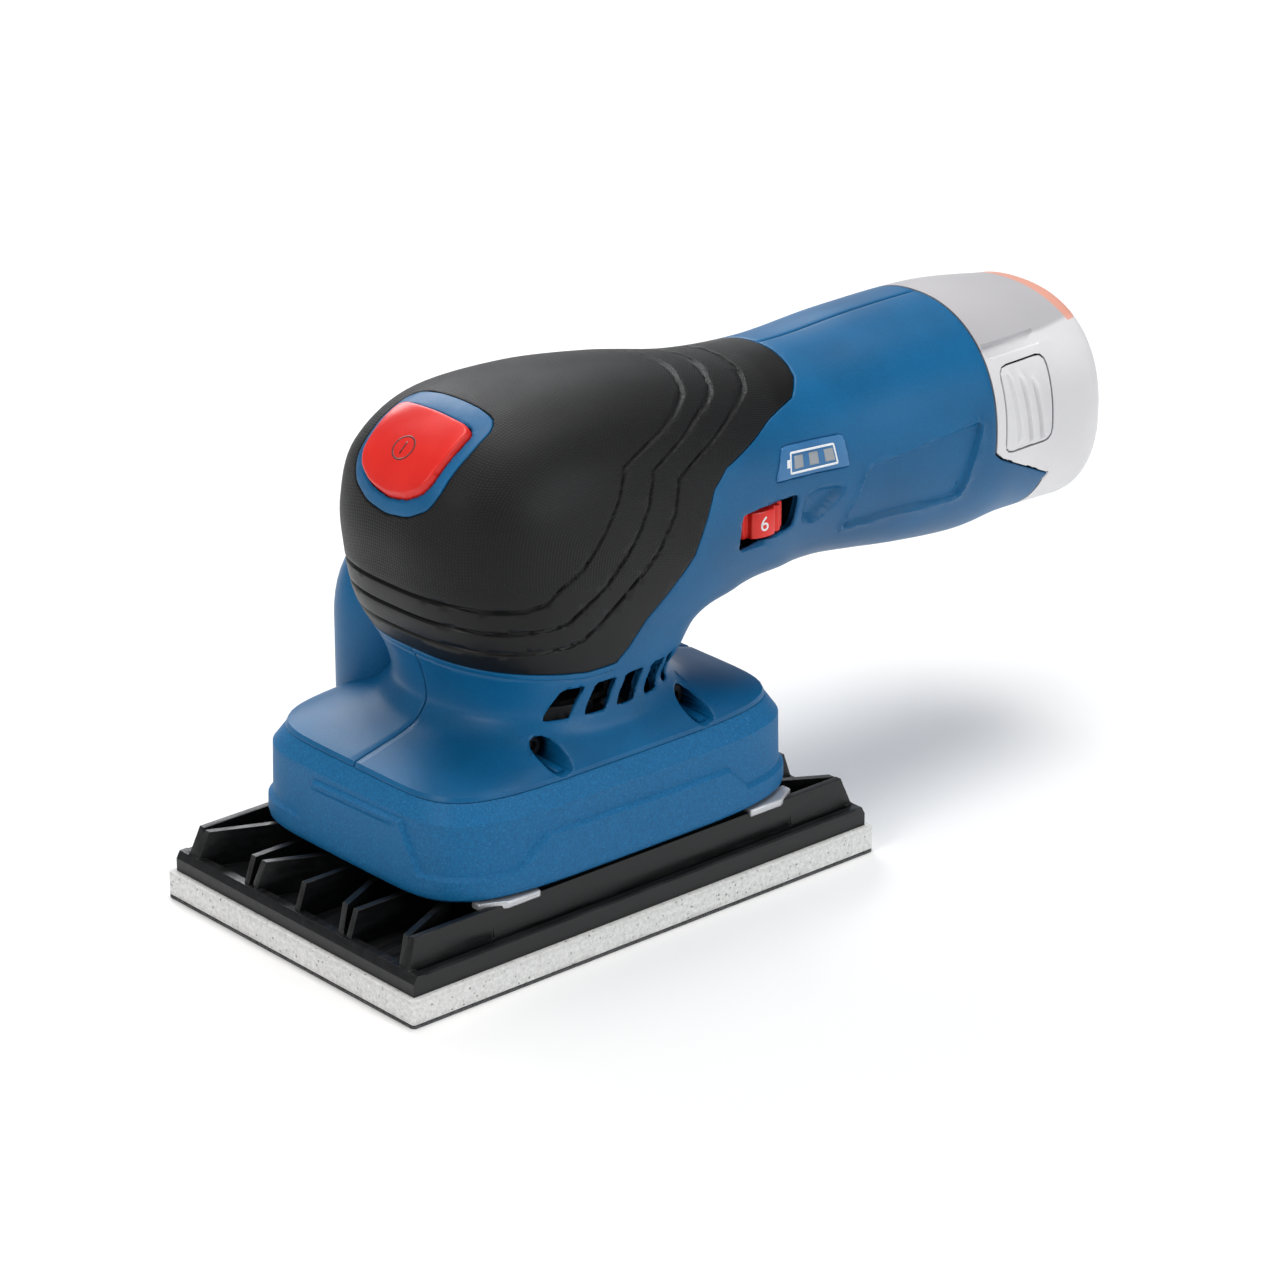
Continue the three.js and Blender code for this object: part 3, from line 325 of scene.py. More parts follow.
def castMetal(finish, deep, mid, rough=0.5):
    sand = finish.noise(900, 4, 0.7)
    blotch = finish.noise(90, 4, 0.6).ramp(0.3, 0.75)
    colour = finish.blend(blotch * 0.6 + sand * 0.3, deep, mid)
    shine = rough + (blotch - 0.5) * 0.12 + (sand - 0.5) * 0.2
    return finish.shader(colour, shine, 0.9, relief=(sand, 0.1, 0.8))


def laminations(finish):
    _, _, z = finish.parts()
    leaves = ((z * (2 * math.pi / (0.7 * mm))).sine() * 0.5 + 0.5).ramp(0.2, 0.9)
    blotch = finish.noise(140, 4, 0.6)
    colour = finish.blend(leaves * 0.6 + blotch * 0.3, (52, 50, 50), (138, 138, 142))
    return finish.shader(colour, 0.5 - leaves * 0.12, 0.85, relief=(leaves, 0.06, 0.8))


def copperWire(finish):
    x, y, z = finish.parts()
    strands = ((z * 2600 + (x + y) * 1900 + finish.noise(120, 2) * 3).sine() * 0.5 + 0.5)
    varnish = finish.noise(200, 3).ramp(0.4, 0.7)
    colour = finish.blend(strands * 0.7 + varnish * 0.2, (96, 44, 20), (206, 120, 66))
    return finish.shader(colour, 0.3 + varnish * 0.1, 0.8, relief=(strands, 0.15, 1.0))


def circuitLacquer(finish):
    x, _, z = finish.parts()
    tracks = ((x * 3100).sine() * (z * 2700).sine()).ramp(0.1, 0.3)
    solder = finish.cells(260).ramp(0.0, 0.2)
    colour = finish.blend(tracks * 0.5, (18, 74, 44), (70, 140, 84))
    dotted = finish.blend((1 - solder) * 0.8, colour, (190, 190, 186))
    return finish.shader(dotted, 0.35, relief=(tracks, 0.05, 0.6), Coat_Weight=0.3)


def shrinkSleeve(finish):
    x, _, _ = finish.parts()
    wrinkles = finish.noise(160, 3, 0.6, place=finish.stretched((9, 1, 1)))
    bands = (x - 0.09).size().ramp(0.018, 0.0184)
    colour = finish.blend(bands * 0.5 + wrinkles * 0.2, (34, 110, 84), (60, 150, 116))
    return finish.shader(colour, 0.28 + wrinkles * 0.1, relief=(wrinkles, 0.08, 0.5))


def batteryPlastic(finish):
    # pale grey pack with two salmon flashes high on its shoulders
    x, _, z = finish.parts()
    fine = finish.noise(2100, 2, 0.6)
    cloudy = finish.noise(45, 3).ramp(0.3, 0.7)
    shade = (z - x * 0.02).ramp(0.0935, 0.0945)
    flash = (x + (z - 0.1) * 0.25).ramp(0.1418, 0.142) * (1 - x.ramp(0.1462, 0.1464)) * z.ramp(0.0962, 0.0964)
    base = finish.blend(cloudy * 0.5 + fine * 0.3, (206, 205, 208), (226, 225, 227))
    top = finish.blend(shade * 0.8, base, (166, 164, 168))
    colour = finish.blend(flash * 0.8, top, (228, 150, 124))
    shine = 0.42 + (cloudy - 0.5) * 0.08 + (fine - 0.5) * 0.12
    return finish.shader(colour, shine, relief=(fine, 0.04, 0.6))


def rubberFoot(finish):
    fine = finish.noise(1500, 3, 0.6)
    bloom = finish.noise(110, 3).ramp(0.45, 0.8)
    colour = finish.blend(bloom * 0.5 + fine * 0.2, (18, 18, 19), (58, 58, 60))
    return finish.shader(colour, 0.7 + (fine - 0.5) * 0.15, relief=(fine, 0.08, 0.7))


def printedMark(finish, tint, shine=0.4):
    ink = finish.noise(1800, 3, 0.6)
    colour = finish.blend(ink.ramp(0.4, 0.8) * 0.25, tint, (150, 150, 150))
    return finish.shader(colour, shine + (ink - 0.5) * 0.1, relief=(ink, 0.01, 0.4))


buildStudio()
finishRecipes = {
    "housingBlue": (mouldedPlastic, (0, 78, 122), (4, 102, 154)),
    "skirtBlue": (sparkPlastic, (0, 80, 126), (10, 108, 162), (84, 152, 196)),
    "gripRubber": (gripRubber,),
    "keyRed": (keyPlastic, (206, 30, 24), (232, 44, 34)),
    "keyMark": (printedMark, (96, 10, 9)),
    "padFoam": (padFoam,),
    "hookFelt": (hookFelt,),
    "plateNylon": (plateNylon,),
    "carrierSteel": (brushedMetal, (150, 152, 156), (205, 207, 210), 0.32),
    "earSteel": (brushedMetal, (178, 180, 184), (226, 227, 230), 0.38, (0, 0, 0), 0.55),
    "bearingSteel": (brushedMetal, (140, 142, 146), (210, 211, 214), 0.24, (0, 0, 0.8)),
    "screwSteel": (castMetal, (34, 34, 36), (74, 74, 78), 0.42),
    "weightIron": (castMetal, (60, 60, 62), (112, 112, 116), 0.55),
    "shieldAlloy": (castMetal, (150, 150, 152), (196, 197, 200), 0.45),
    "laminations": (laminations,),
    "copperWire": (copperWire,),
    "circuitLacquer": (circuitLacquer,),
    "shrinkSleeve": (shrinkSleeve,),
    "batteryGrey": (batteryPlastic,),
    "rubberFoot": (rubberFoot,),
    "lensBlue": (keyPlastic, (44, 104, 156), (84, 140, 186)),
    "whiteInk": (printedMark, (238, 240, 242)),
    "greyInk": (printedMark, (150, 156, 162), 0.3),
}
finishes = {name: recipe(Finish(name), *settings) for name, (recipe, *settings) in finishRecipes.items()}
print("finishes ready:", len(finishes))


# ---------- shaping tools ----------


def turns(count):
    return [2 * math.pi * k / count for k in range(count)]


def circleLine(radius, count=40, u=0.0, v=0.0):
    return [(u + radius * math.cos(a), v + radius * math.sin(a)) for a in turns(count)]


def smoothRows(rows, steps):  # Catmull-Rom rows, with a number of steps for each span
    made = []
    last = len(rows) - 1
    for i in range(last):
        p, q, r, s = (np.array(rows[min(max(k, 0), last)], float) for k in (i - 1, i, i + 1, i + 2))
        for k in range(steps[i]):
            t = k / steps[i]
            bend, twist = 2 * p - 5 * q + 4 * r - s, 3 * q - p - 3 * r + s
            made.append(tuple((2 * q + (r - p) * t + bend * t * t + twist * t ** 3) / 2))
    made.append(tuple(rows[last]))
    return made


def ringPoints(row, columns):
    # a rounded section between an outer and an inner point of the symmetry plane, evenly spaced per quarter
    outerX, outerZ, innerX, innerZ, halfWidth, waist, squareAlong, squareAcross = row
    half = math.hypot(outerX - innerX, outerZ - innerZ) / 2
    ux, uz = (outerX - innerX) / (2 * half), (outerZ - innerZ) / (2 * half)
    midX = (outerX + innerX) / 2 + ux * waist * half
    midZ = (outerZ + innerZ) / 2 + uz * waist * half
    points = []
    for quarter in range(4):
        angles = np.linspace(quarter, quarter + 1, 161) * math.pi / 2
        cosine, sine = np.round(np.cos(angles), 12), np.round(np.sin(angles), 12)
        reach = half * (1 - waist) if quarter in (0, 3) else half * (1 + waist)
        along = reach * np.sign(cosine) * np.abs(cosine) ** (2 / squareAlong)
        across = -halfWidth * np.sign(sine) * np.abs(sine) ** (2 / squareAcross)
        length = np.concatenate([[0], np.cumsum(np.hypot(np.diff(along), np.diff(across)))])
        wanted = np.linspace(0, length[-1], columns // 4 + 1)[:-1]
        for a, b in zip(np.interp(wanted, length, along), np.interp(wanted, length, across)):
            points.append(Vector((midX + ux * a, b, midZ + uz * a)))
    return points


def skinThrough(rings):
    # one ring is drawn as a circle and extruded from ring to ring; the UV map follows the surface in metres
    columns = len(rings[0])
    bm = bmesh.new()
    column = bm.verts.layers.int.new("column")
    level = bm.verts.layers.int.new("level")
    verts = bmesh.ops.create_circle(bm, segments=columns, radius=1)["verts"]
    for i, vert in enumerate(verts):
        vert[column] = i
        vert.co = rings[0][i]
    ring = list(bm.edges)
    for number, points in enumerate(rings[1:], 1):
        grown = bmesh.ops.extrude_edge_only(bm, edges=ring)["geom"]
        verts = {g for g in grown if isinstance(g, bmesh.types.BMVert)}
        ring = [g for g in grown if isinstance(g, bmesh.types.BMEdge) and set(g.verts) <= verts]
        for vert in verts:
            vert.co = points[vert[column]]
            vert[level] = number
    places = np.array([[tuple(p) for p in points] for points in rings])
    steps = np.linalg.norm(np.diff(places, axis=0), axis=2)
    down = np.vstack([np.zeros(columns), np.cumsum(steps, axis=0)]) * mm
    half = columns // 2
    rightward = np.linalg.norm(np.diff(places[:, : half + 1], axis=1), axis=2)
    around = np.hstack([np.zeros((len(rings), 1)), np.cumsum(rightward, axis=1)]) * mm
    uv = bm.loops.layers.uv.new("UVMap")
    for face in bm.faces:
        farSide = any(loop.vert[column] > half for loop in face.loops)
        for loop in face.loops:
            c, r = loop.vert[column], loop.vert[level]
            if farSide:
                loop[uv].uv = (-around[r][(columns - c) % columns], down[r][c])
            else:
                loop[uv].uv = (around[r][c], down[r][c])
    bmesh.ops.recalc_face_normals(bm, faces=bm.faces)
    return bm


def seenFrom(origin, u, v, keep):  # a flat drawing board, and which faces it reaches
    return {"origin": Vector(origin), "u": Vector(u), "v": Vector(v), "keep": keep}


def uprightBoard(keep, u=(1, 0, 0)):
    return seenFrom((0, 0, 0), u, (0, 0, 1), keep)


def onBoard(board, point):
    away = point - board["origin"]
    return away.dot(board["u"]), away.dot(board["v"])


def cutLine(bm, board, points, offsets, closed=False, reach=3.6):
    # cuts the faces under a drawn line, and at the given distances beside it
    us, vs = [p[0] for p in points], [p[1] for p in points]
    pool = {}
    bm.normal_update()
    for face in bm.faces:
        centre = face.calc_center_median()
        u, v = onBoard(board, centre)
        inside = min(us) - reach < u < max(us) + reach and min(vs) - reach < v < max(vs) + reach
        if inside and board["keep"](centre, face.normal):
            pool[face] = (u, v)
    for i in range(len(points) if closed else len(points) - 1):
        p, q = points[i], points[(i + 1) % len(points)]
        length = math.hypot(q[0] - p[0], q[1] - p[1])
        du, dv = (q[0] - p[0]) / length, (q[1] - p[1]) / length
        across = board["u"] * -dv + board["v"] * du
        for offset in offsets:
            chosen = []
            for face, (u, v) in pool.items():
                along = (u - p[0]) * du + (v - p[1]) * dv
                aside = (v - p[1]) * du - (u - p[0]) * dv - offset
                if -reach < along < length + reach and -reach < aside < reach:
                    chosen.append(face)
            if not chosen:
                continue
            place = board["origin"] + board["u"] * (p[0] - dv * offset) + board["v"] * (p[1] + du * offset)
            edges = {e for f in chosen for e in f.edges}
            verts = {v for f in chosen for v in f.verts}
            cut = bmesh.ops.bisect_plane(
                bm, geom=list(verts) + list(edges) + chosen, dist=0.03, plane_co=place, plane_no=across)
            for face in chosen:
                pool.pop(face, None)
            for item in cut["geom"]:
                if isinstance(item, bmesh.types.BMFace):
                    pool[item] = onBoard(board, item.calc_center_median())


def flatPlaces(board, places):
    away = places - np.array(board["origin"])
    return away @ np.array(board["u"]), away @ np.array(board["v"])


def insideOutline(u, v, points):
    inside = np.zeros(len(u), bool)
    for (u0, v0), (u1, v1) in zip(points, points[1:] + points[:1]):
        if v0 != v1:
            crossing = (v0 > v) != (v1 > v)
            inside ^= crossing & (u < (u1 - u0) * (v - v0) / (v1 - v0) + u0)
    return inside


def lineDistance(u, v, points, closed):  # negative inside a closed outline
    best = np.full(len(u), 1e9)
    ends = points[1:] + points[:1] if closed else points[1:]
    for (u0, v0), (u1, v1) in zip(points, ends):
        span = (u1 - u0) ** 2 + (v1 - v0) ** 2
        share = np.clip(((u - u0) * (u1 - u0) + (v - v0) * (v1 - v0)) / span, 0, 1)
        best = np.minimum(best, np.hypot(u - u0 - share * (u1 - u0), v - v0 - share * (v1 - v0)))
    if closed:
        best = np.where(insideOutline(u, v, points), -best, best)
    return best


def roundedOver(radius):  # both sides of a seam roll down into it
    def height(distance):
        near = np.clip(radius - np.abs(distance), 0, radius)
        return np.sqrt(radius ** 2 - near ** 2) - radius
    return height


def groove(width, depth):
    def height(distance):
        near = np.clip(np.abs(distance) / width, 0, 1)
        return -depth * (0.5 + 0.5 * np.cos(math.pi * near))
    return height


def stepped(width, rise, middle=0.0):  # the inside of an outline stands proud, or is sunk
    def height(distance):
        share = np.clip(0.5 - (distance - middle) / width, 0, 1)
        return rise * share * share * (3 - 2 * share)
    return height


def ridge(top, foot, rise):  # a flat-topped rib; top and foot are half widths
    def height(distance):
        return rise * np.clip((foot - np.abs(distance)) / (foot - top), 0, 1)
    return height


def pressLines(bm, presses):
    bm.normal_update()
    verts = list(bm.verts)
    places = np.array([v.co[:] for v in verts])
    normals = np.array([v.normal[:] for v in verts])
    moves = np.zeros((len(verts), 3))
    for board, points, closed, height, *way in presses:
        kept = np.array([board["keep"](v.co, v.normal) for v in verts])
        u, v = flatPlaces(board, places[kept])
        outward = np.array(way[0]) if way else normals[kept]
        moves[kept] += height(lineDistance(u, v, points, closed))[:, None] * outward
    for vert, place in zip(verts, places + moves):
        vert.co = place


def markFaces(bm, board, points, name, only=None):
    part = bm.faces.layers.int["part"]
    centres = np.array([f.calc_center_median()[:] for f in bm.faces])
    u, v = flatPlaces(board, centres)
    inside = insideOutline(u, v, points)
    for face, centre, hit in zip(bm.faces, centres, inside):
        if hit and board["keep"](Vector(centre), face.normal) and (not only or face[part] == partCode[only]):
            face[part] = partCode[name]


def grown(points, distance):  # an outline moved outwards; it runs anticlockwise
    made = []
    for i, point in enumerate(points):
        before, after = points[i - 1], points[(i + 1) % len(points)]
        sides = []
        for a, b in ((before, point), (point, after)):
            length = math.hypot(b[0] - a[0], b[1] - a[1])
            sides.append(((b[1] - a[1]) / length, (a[0] - b[0]) / length))
        share = distance / (1 + sides[0][0] * sides[1][0] + sides[0][1] * sides[1][1])
        made.append(tuple(point[k] + (sides[0][k] + sides[1][k]) * share for k in (0, 1)))
    return made


def softCorners(points, radius, steps=3):  # rounds the corners of a closed outline
    made = []
    for i, corner in enumerate(points):
        before, after = Vector(points[i - 1]), Vector(points[(i + 1) % len(points)])
        corner = Vector(corner)
        room = min(radius, (before - corner).length * 0.45, (after - corner).length * 0.45)
        start = corner + (before - corner).normalized() * room
        end = corner + (after - corner).normalized() * room
        for k in range(steps + 1):
            t = k / steps
            made.append(tuple(start * (1 - t) ** 2 + corner * (2 * t * (1 - t)) + end * t * t))
    return made


def keepPart(bm, name, side=0):  # a copy of one part, or only its half on one side
    piece = bm.copy()
    part = piece.faces.layers.int["part"]
    unwanted = [f for f in piece.faces if f[part] != partCode[name] or f.calc_center_median().y * side < 0]
    bmesh.ops.delete(piece, geom=unwanted, context="FACES")
    return piece


def thickened(bm, wall, board, outline, way):
    # a shell whose wall beside the outline runs straight in, clear of what moves past it
    inward = bm.verts.layers.float_vector.new("inward")
    bm.normal_update()
    verts = list(bm.verts)
    u, v = flatPlaces(board, np.array([vert.co[:] for vert in verts]))
    share = np.clip((np.abs(lineDistance(u, v, outline, True)) - 0.8) / 2, 0, 1)
    for vert, free in zip(verts, share):
        vert[inward] = (way(vert.co) * (1 - free) + vert.normal * free).normalized() * -wall
    for item in bmesh.ops.extrude_face_region(bm, geom=list(bm.faces), use_keep_orig=True)["geom"]:
        if isinstance(item, bmesh.types.BMVert):
            item.co += item[inward]
    bmesh.ops.recalc_face_normals(bm, faces=bm.faces)
    return bm


def finishPiece(bm, name, body, finish, stands=(), wall=0.0, bevel=0.0, sharp=32):
    bmesh.ops.scale(bm, vec=(mm, mm, mm), verts=bm.verts)
    mesh = bpy.data.meshes.new(name)
    bm.to_mesh(mesh)
    bm.free()
    mesh.shade_smooth()
    mesh.set_sharp_from_angle(angle=math.radians(sharp))
    mesh.materials.append(finishes[finish])
    piece = bpy.data.objects.new(name, mesh)
    bpy.context.scene.collection.objects.link(piece)
    if wall:
        skin = piece.modifiers.new("wall", "SOLIDIFY")
        skin.thickness = wall * mm
        skin.offset = -1
    if bevel:
        edge = piece.modifiers.new("edge", "BEVEL")
        edge.width = bevel * mm
        edge.segments = 2
        edge.limit_method = "ANGLE"
        edge.angle_limit = math.radians(28)
    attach(piece, body)
    if stands:
        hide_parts(*stands)
    return piece


# ---------- the moulded body: roof, neck, palm, tail and battery cap as one skin ----------

body = {
    "columns": 128, "seam": 0.42, "grooveWidth": 0.6, "grooveDepth": 0.7,
    "walls": {"housing": 2.2, "grip": 1.6, "bezel": 1.6, "key": 2.4, "cap": 2.2, "latch": 2.6, "lens": 1.4},
    "roof": {"front": -45.2, "rear": 47.4, "halfWidth": 33.3, "edge": 38.6, "square": 4.4, "across": 6.0},
    "neck": {"front": -26, "rear": 30, "halfWidth": 27.3, "square": 2.3},
    "flare": [  # share of the way from roof to neck, and rise
        (-0.004, -0.22), (0, 0), (0.02, 0.8), (0.35, 2.4), (0.62, 3.7), (0.82, 5.2), (0.94, 7.4), (1, 10.4),
    ],
    "steps": [1, 1, 5, 4, 4, 4, 4, 4, 7, 7, 7, 8, 8, 8, 9, 9, 9, 9, 9, 7, 8],
    "end": {"x": 148.0, "radius": 4.4, "top": 101.6, "bottom": 51.4, "halfWidth": 25.6, "square": 2.3},
    "seamSink": 0.22, "seamGap": 0.06,
}
palmRows = [  # outer x, z, inner x, z, half width, waist, squareness along and across
    (-27.5, 56, 32.5, 52, 27.8, 0, 2.5, 2.5),
    (-33, 67, 35.5, 56.8, 29, 0.05, 2.8, 2.8),
    (-35.3, 79, 40, 58.3, 30.3, 0.08, 2.8, 2.8),
    (-35.7, 90, 46, 58.5, 31, 0.1, 2.8, 2.8),
    (-31.7, 101.8, 50, 58.5, 31, 0.1, 2.8, 2.8),
    (-18, 110.3, 54.5, 58, 30, 0.1, 2.8, 2.8),
    (4.4, 111.9, 60, 57.3, 28.5, 0.08, 2.7, 2.7),
]
tailRows = [
    (26.5, 110, 66, 56.5, 26.8, 0.05, 2.4, 2.4),
    (48, 106, 74, 55.5, 25.3, 0, 2.2, 2.2),
    (70, 104.3, 84, 54, 25, 0, 2.2, 2.2),
    (92, 105.3, 97, 52, 25.7, 0, 2.2, 2.2),
    (113, 105.5, 113, 50.5, 26.2, 0, 2.2, 2.2),
    (126, 104.7, 126, 51.4, 25.9, 0, 2.2, 2.2),
    (143.6, 101.6, 143.6, 51.4, 25.6, 0, 2.3, 2.3),
]
gripOutline = [
    (-70, 61.5), (-31, 60.6), (-17, 58.6), (-6, 57), (1.5, 57.2), (4.6, 60), (8.6, 65.6), (14.4, 70.6),
    (21.4, 76.4), (25.8, 83.4), (28.2, 88.4), (32.5, 91.8), (49.5, 96.5), (59.5, 98.4), (63.6, 101),
    (65.8, 104.4), (66.5, 130), (-70, 130),
]
gripGrooves = [
    [(38, 114), (35.6, 108.5), (32.8, 107.8), (30.1, 106.3), (20.4, 103.9), (9.9, 101.2), (4.1, 99.2),
     (1.1, 93.5), (-3.5, 87.8), (-9.5, 81.1), (-14.5, 78.3), (-17.5, 75.4), (-22, 74.4), (-28.5, 74.7),
     (-33.5, 75.4), (-45, 76.5)],
    [(47, 112), (44.5, 106.6), (41.5, 105.9), (38.7, 104.5), (28.9, 102.7), (17, 98.8), (11.4, 96.7),
     (9, 90.2), (4.5, 83.9), (-3.3, 76.2), (-8.6, 72.6), (-12.4, 69.9), (-16, 69.3), (-27.4, 69.6),
     (-32.3, 70.3), (-45, 71.4)],
    [(55, 111), (52.5, 105.4), (51.5, 104.1), (48.4, 102.2), (37, 99.9), (23.7, 95.8), (18.1, 93.3),
     (16.3, 86.8), (10.6, 79.8), (2.1, 73.2), (-4.6, 67.6), (-8.5, 64.9), (-12, 64.2), (-24, 64.6),
     (-30.5, 65.2), (-45, 66.2)],
]
collarLine = [(-45, 59.6), (-31, 59.1), (-17, 57.1), (-6, 55.5), (0.6, 55.6)]
key = {"place": (-28.7, 0, 103.5), "tilt": 39.1, "crown": 1.3, "gap": 0.32, "dish": 8.2}
keyHalf = [(-10.2, 0), (-9.4, 5.5), (-7.2, 9.4), (-4.5, 10.9), (3, 11.4), (7.8, 11.2), (9.2, 9.6), (9.6, 0)]
bezelHalf = [(-13, 0), (-12.2, 6.5), (-9.6, 11.6), (-5.8, 13.6), (4, 14.2), (11, 13.6), (13.8, 11.4),
             (14.9, 6), (15.2, 0)]
vents = [(-8.5, -12, 5.4), (-0.5, -3.2, 5.4), (7.3, 4.8, 4.9), (14.6, 12.6, 4.3), (18.9, 18.8, 2.4)]
dialWindow = [(35.4, 72.7), (53, 72.9), (54.6, 80), (36.6, 80.3)]
dialScoop = [(55.2, 73.4), (58.5, 71.6), (62, 72), (68.6, 76), (70, 78.6), (63, 80), (56.4, 79.6)]
chargeWindow = [(46.9, 84.6), (70, 82.2), (69, 89.4), (50.4, 91.2)]
badgePanel = [(70.3, 67.3), (103.5, 66.8), (108.5, 83), (75.9, 80.1)]
bore = {"radius": 3.1, "columns": 14, "rimReach": 3.8, "leastWidth": 6}
nearScrews = [(-16.5, 42, 19.5), (22.5, 42, 19.5)]  # x, z and depth of the bores, first those in the roof
farScrews = [(39, 65.6, 16.5), (58, 63, 12), (61.5, 94.5, 14)]
lipLine = [(112.9, 110), (112.9, 74.4), (115, 72.6), (132.3, 64.4), (131.3, 62.6), (131.3, 40)]
latch = {"centre": (123.3, 83.3), "half": (7.25, 9.5), "corner": 2.5}
latchRibs = [[(118.6, 90.5), (120.6, 76.5)], [(122.3, 89.2), (124.3, 75.8)], [(126, 87.6), (127.8, 75.4)]]
batterySlot = [(115, 96.2), (129.5, 96)]


def mirrored(half):
    return [(u, -v) for u, v in half] + [p for p in reversed(half[1:-1])]


def bodyRings():
    roof, neck, end = body["roof"], body["neck"], body["end"]
    rows = []
    for share, rise in body["flare"]:
        def mix(a, b):
            return a + (b - a) * share
        z = roof["edge"] + rise
        rows.append((
            mix(roof["front"], neck["front"]), z, mix(roof["rear"], neck["rear"]), z,
            mix(roof["halfWidth"], neck["halfWidth"]), 0,
            mix(roof["square"], neck["square"]), mix(roof["across"], neck["square"]),
        ))
    everyRow = smoothRows(rows + palmRows + tailRows, body["steps"])
    for k in range(1, 8):  # the rounded rear edge
        angle = k / 7 * math.pi / 2
        shrink = end["radius"] * (1 - math.cos(angle))
        x = end["x"] - end["radius"] + end["radius"] * math.sin(angle)
        everyRow.append((x, end["top"] - shrink, x, end["bottom"] + shrink, end["halfWidth"] - shrink, 0,
                         end["square"], end["square"]))
    return [ringPoints(row, body["columns"]) for row in everyRow]


skin = skinThrough(bodyRings())
print("body skin:", len(skin.faces), "faces")
endEdges = [e for e in skin.edges if e.is_boundary and e.verts[0].co.x > 140]
cap = bmesh.ops.contextual_create(skin, geom=endEdges)["faces"]
for _ in range(3):
    bmesh.ops.inset_region(skin, faces=cap, thickness=5.5, depth=0.0)

bothSides = uprightBoard(lambda place, normal: True)
nearSide = uprightBoard(lambda place, normal: place.y < -1)
farSide = uprightBoard(lambda place, normal: place.y > 1)
lowFront = uprightBoard(lambda place, normal: place.z < 60)
tilt = math.radians(key["tilt"])
keyNormal = Vector((-math.sin(tilt), 0, math.cos(tilt)))


def nearKey(place, normal):
    return normal.dot(keyNormal) > 0.25 and (place - Vector(key["place"])).dot(keyNormal) > -13


keyBoard = seenFrom(key["place"], (math.cos(tilt), 0, math.sin(tilt)), (0, 1, 0), nearKey)
keyOutline = softCorners(mirrored(keyHalf), 1.2, 2)
bezelOutline = softCorners(mirrored(bezelHalf), 1.5, 2)


def ventOutline(upper, lower, width):
    half, low, high = width / 2, 47.3, 53.7
    return [(lower - half, low), (lower + half, low), (upper + half, high), (upper - half, high)]


def latchOutline(margin=0.0):
    (x, z), (a, b) = latch["centre"], latch["half"]
    a, b = a + margin, b + margin
    corners = [(x - a, z - b), (x + a, z - b), (x + a, z + b), (x - a, z + b)]
    return softCorners(corners, latch["corner"] + margin, 3)


ventShapes = [softCorners(ventOutline(*v), 0.7, 2) for v in vents]
windowShape = softCorners(dialWindow, 1.2, 2)
chargeShape = softCorners(chargeWindow, 1.0, 2)
badgeShape = softCorners(badgePanel, 1.6, 3)
scoopShape = softCorners(dialScoop, 2, 3)
holes = [(lowFront, shape, 0.35) for shape in ventShapes]  # board, outline, rounding of the edge
for board, screws in ((nearSide, nearScrews), (farSide, farScrews)):
    holes += [(board, circleLine(bore["radius"], bore["columns"], x, z), 0.4) for x, z, _ in screws]
seamOffsets = (-0.42, -0.16, 0, 0.16, 0.42)
for offset in (-0.5, 0, 0.5):
    bmesh.ops.bisect_plane(
        skin, geom=list(skin.verts) + list(skin.edges) + list(skin.faces), dist=0.01,
        plane_co=(0, offset, 0), plane_no=(0, 1, 0))
cutLine(skin, bothSides, gripOutline[1:-2], seamOffsets)
for line in gripGrooves:
    cutLine(skin, bothSides, line, (-0.6, -0.25, 0.25, 0.6))
cutLine(skin, bothSides, collarLine, (-0.4, 0, 0.4))
cutLine(skin, keyBoard, bezelOutline, seamOffsets, True)
cutLine(skin, keyBoard, keyOutline, (-0.55, -0.22, 0, key["gap"], 0.6), True)
for board, shape, lip in holes:
    cutLine(skin, board, shape, (0, lip), True, 3.0)
cutLine(skin, nearSide, scoopShape, (-1.9, -1.3, -0.7, -0.1), True)
cutLine(skin, nearSide, windowShape, (0, 0.25, 0.6), True)
cutLine(skin, nearSide, chargeShape, (-0.6, -0.25, 0, 0.3), True)
cutLine(skin, nearSide, badgeShape, (-0.5, 0, 0.5, 1.1), True)
cutLine(skin, bothSides, lipLine, (-0.42, -0.16, 0, 0.3, 0.5, 0.8))
cutLine(skin, bothSides, latchOutline(), (-0.3, 0, 0.3, 0.6), True)
for line in latchRibs:
    cutLine(skin, bothSides, line, (-0.95, -0.5, 0.5, 0.95), False, 3.0)
cutLine(skin, bothSides, batterySlot, (-1.5, -1.0, 1.0, 1.5), False, 3.0)
print("lines cut:", len(skin.faces), "faces")

partCode = {"housing": 0, "grip": 1, "bezel": 2, "key": 3, "cap": 4, "latch": 5, "lens": 6, "gone": 9}
skin.faces.layers.int.new("part")
skin.normal_update()
markFaces(skin, bothSides, gripOutline, "grip")
markFaces(skin, keyBoard, bezelOutline, "bezel")
markFaces(skin, keyBoard, grown(keyOutline, key["gap"]), "gone")
markFaces(skin, keyBoard, keyOutline, "key")
capArea = [(112.9, 130)] + lipLine[1:-1] + [(131.3, 30), (170, 30), (170, 130)]
markFaces(skin, bothSides, capArea, "gone")
markFaces(skin, bothSides, [(u + 0.3, v + (0.3 if v < 75 else 0)) for u, v in capArea], "cap")
markFaces(skin, bothSides, latchOutline(0.3), "gone", "cap")
markFaces(skin, bothSides, latchOutline(), "latch")
for board, shape, _ in holes:
    markFaces(skin, board, shape, "gone")
markFaces(skin, nearSide, windowShape, "gone")
markFaces(skin, nearSide, chargeShape, "lens")
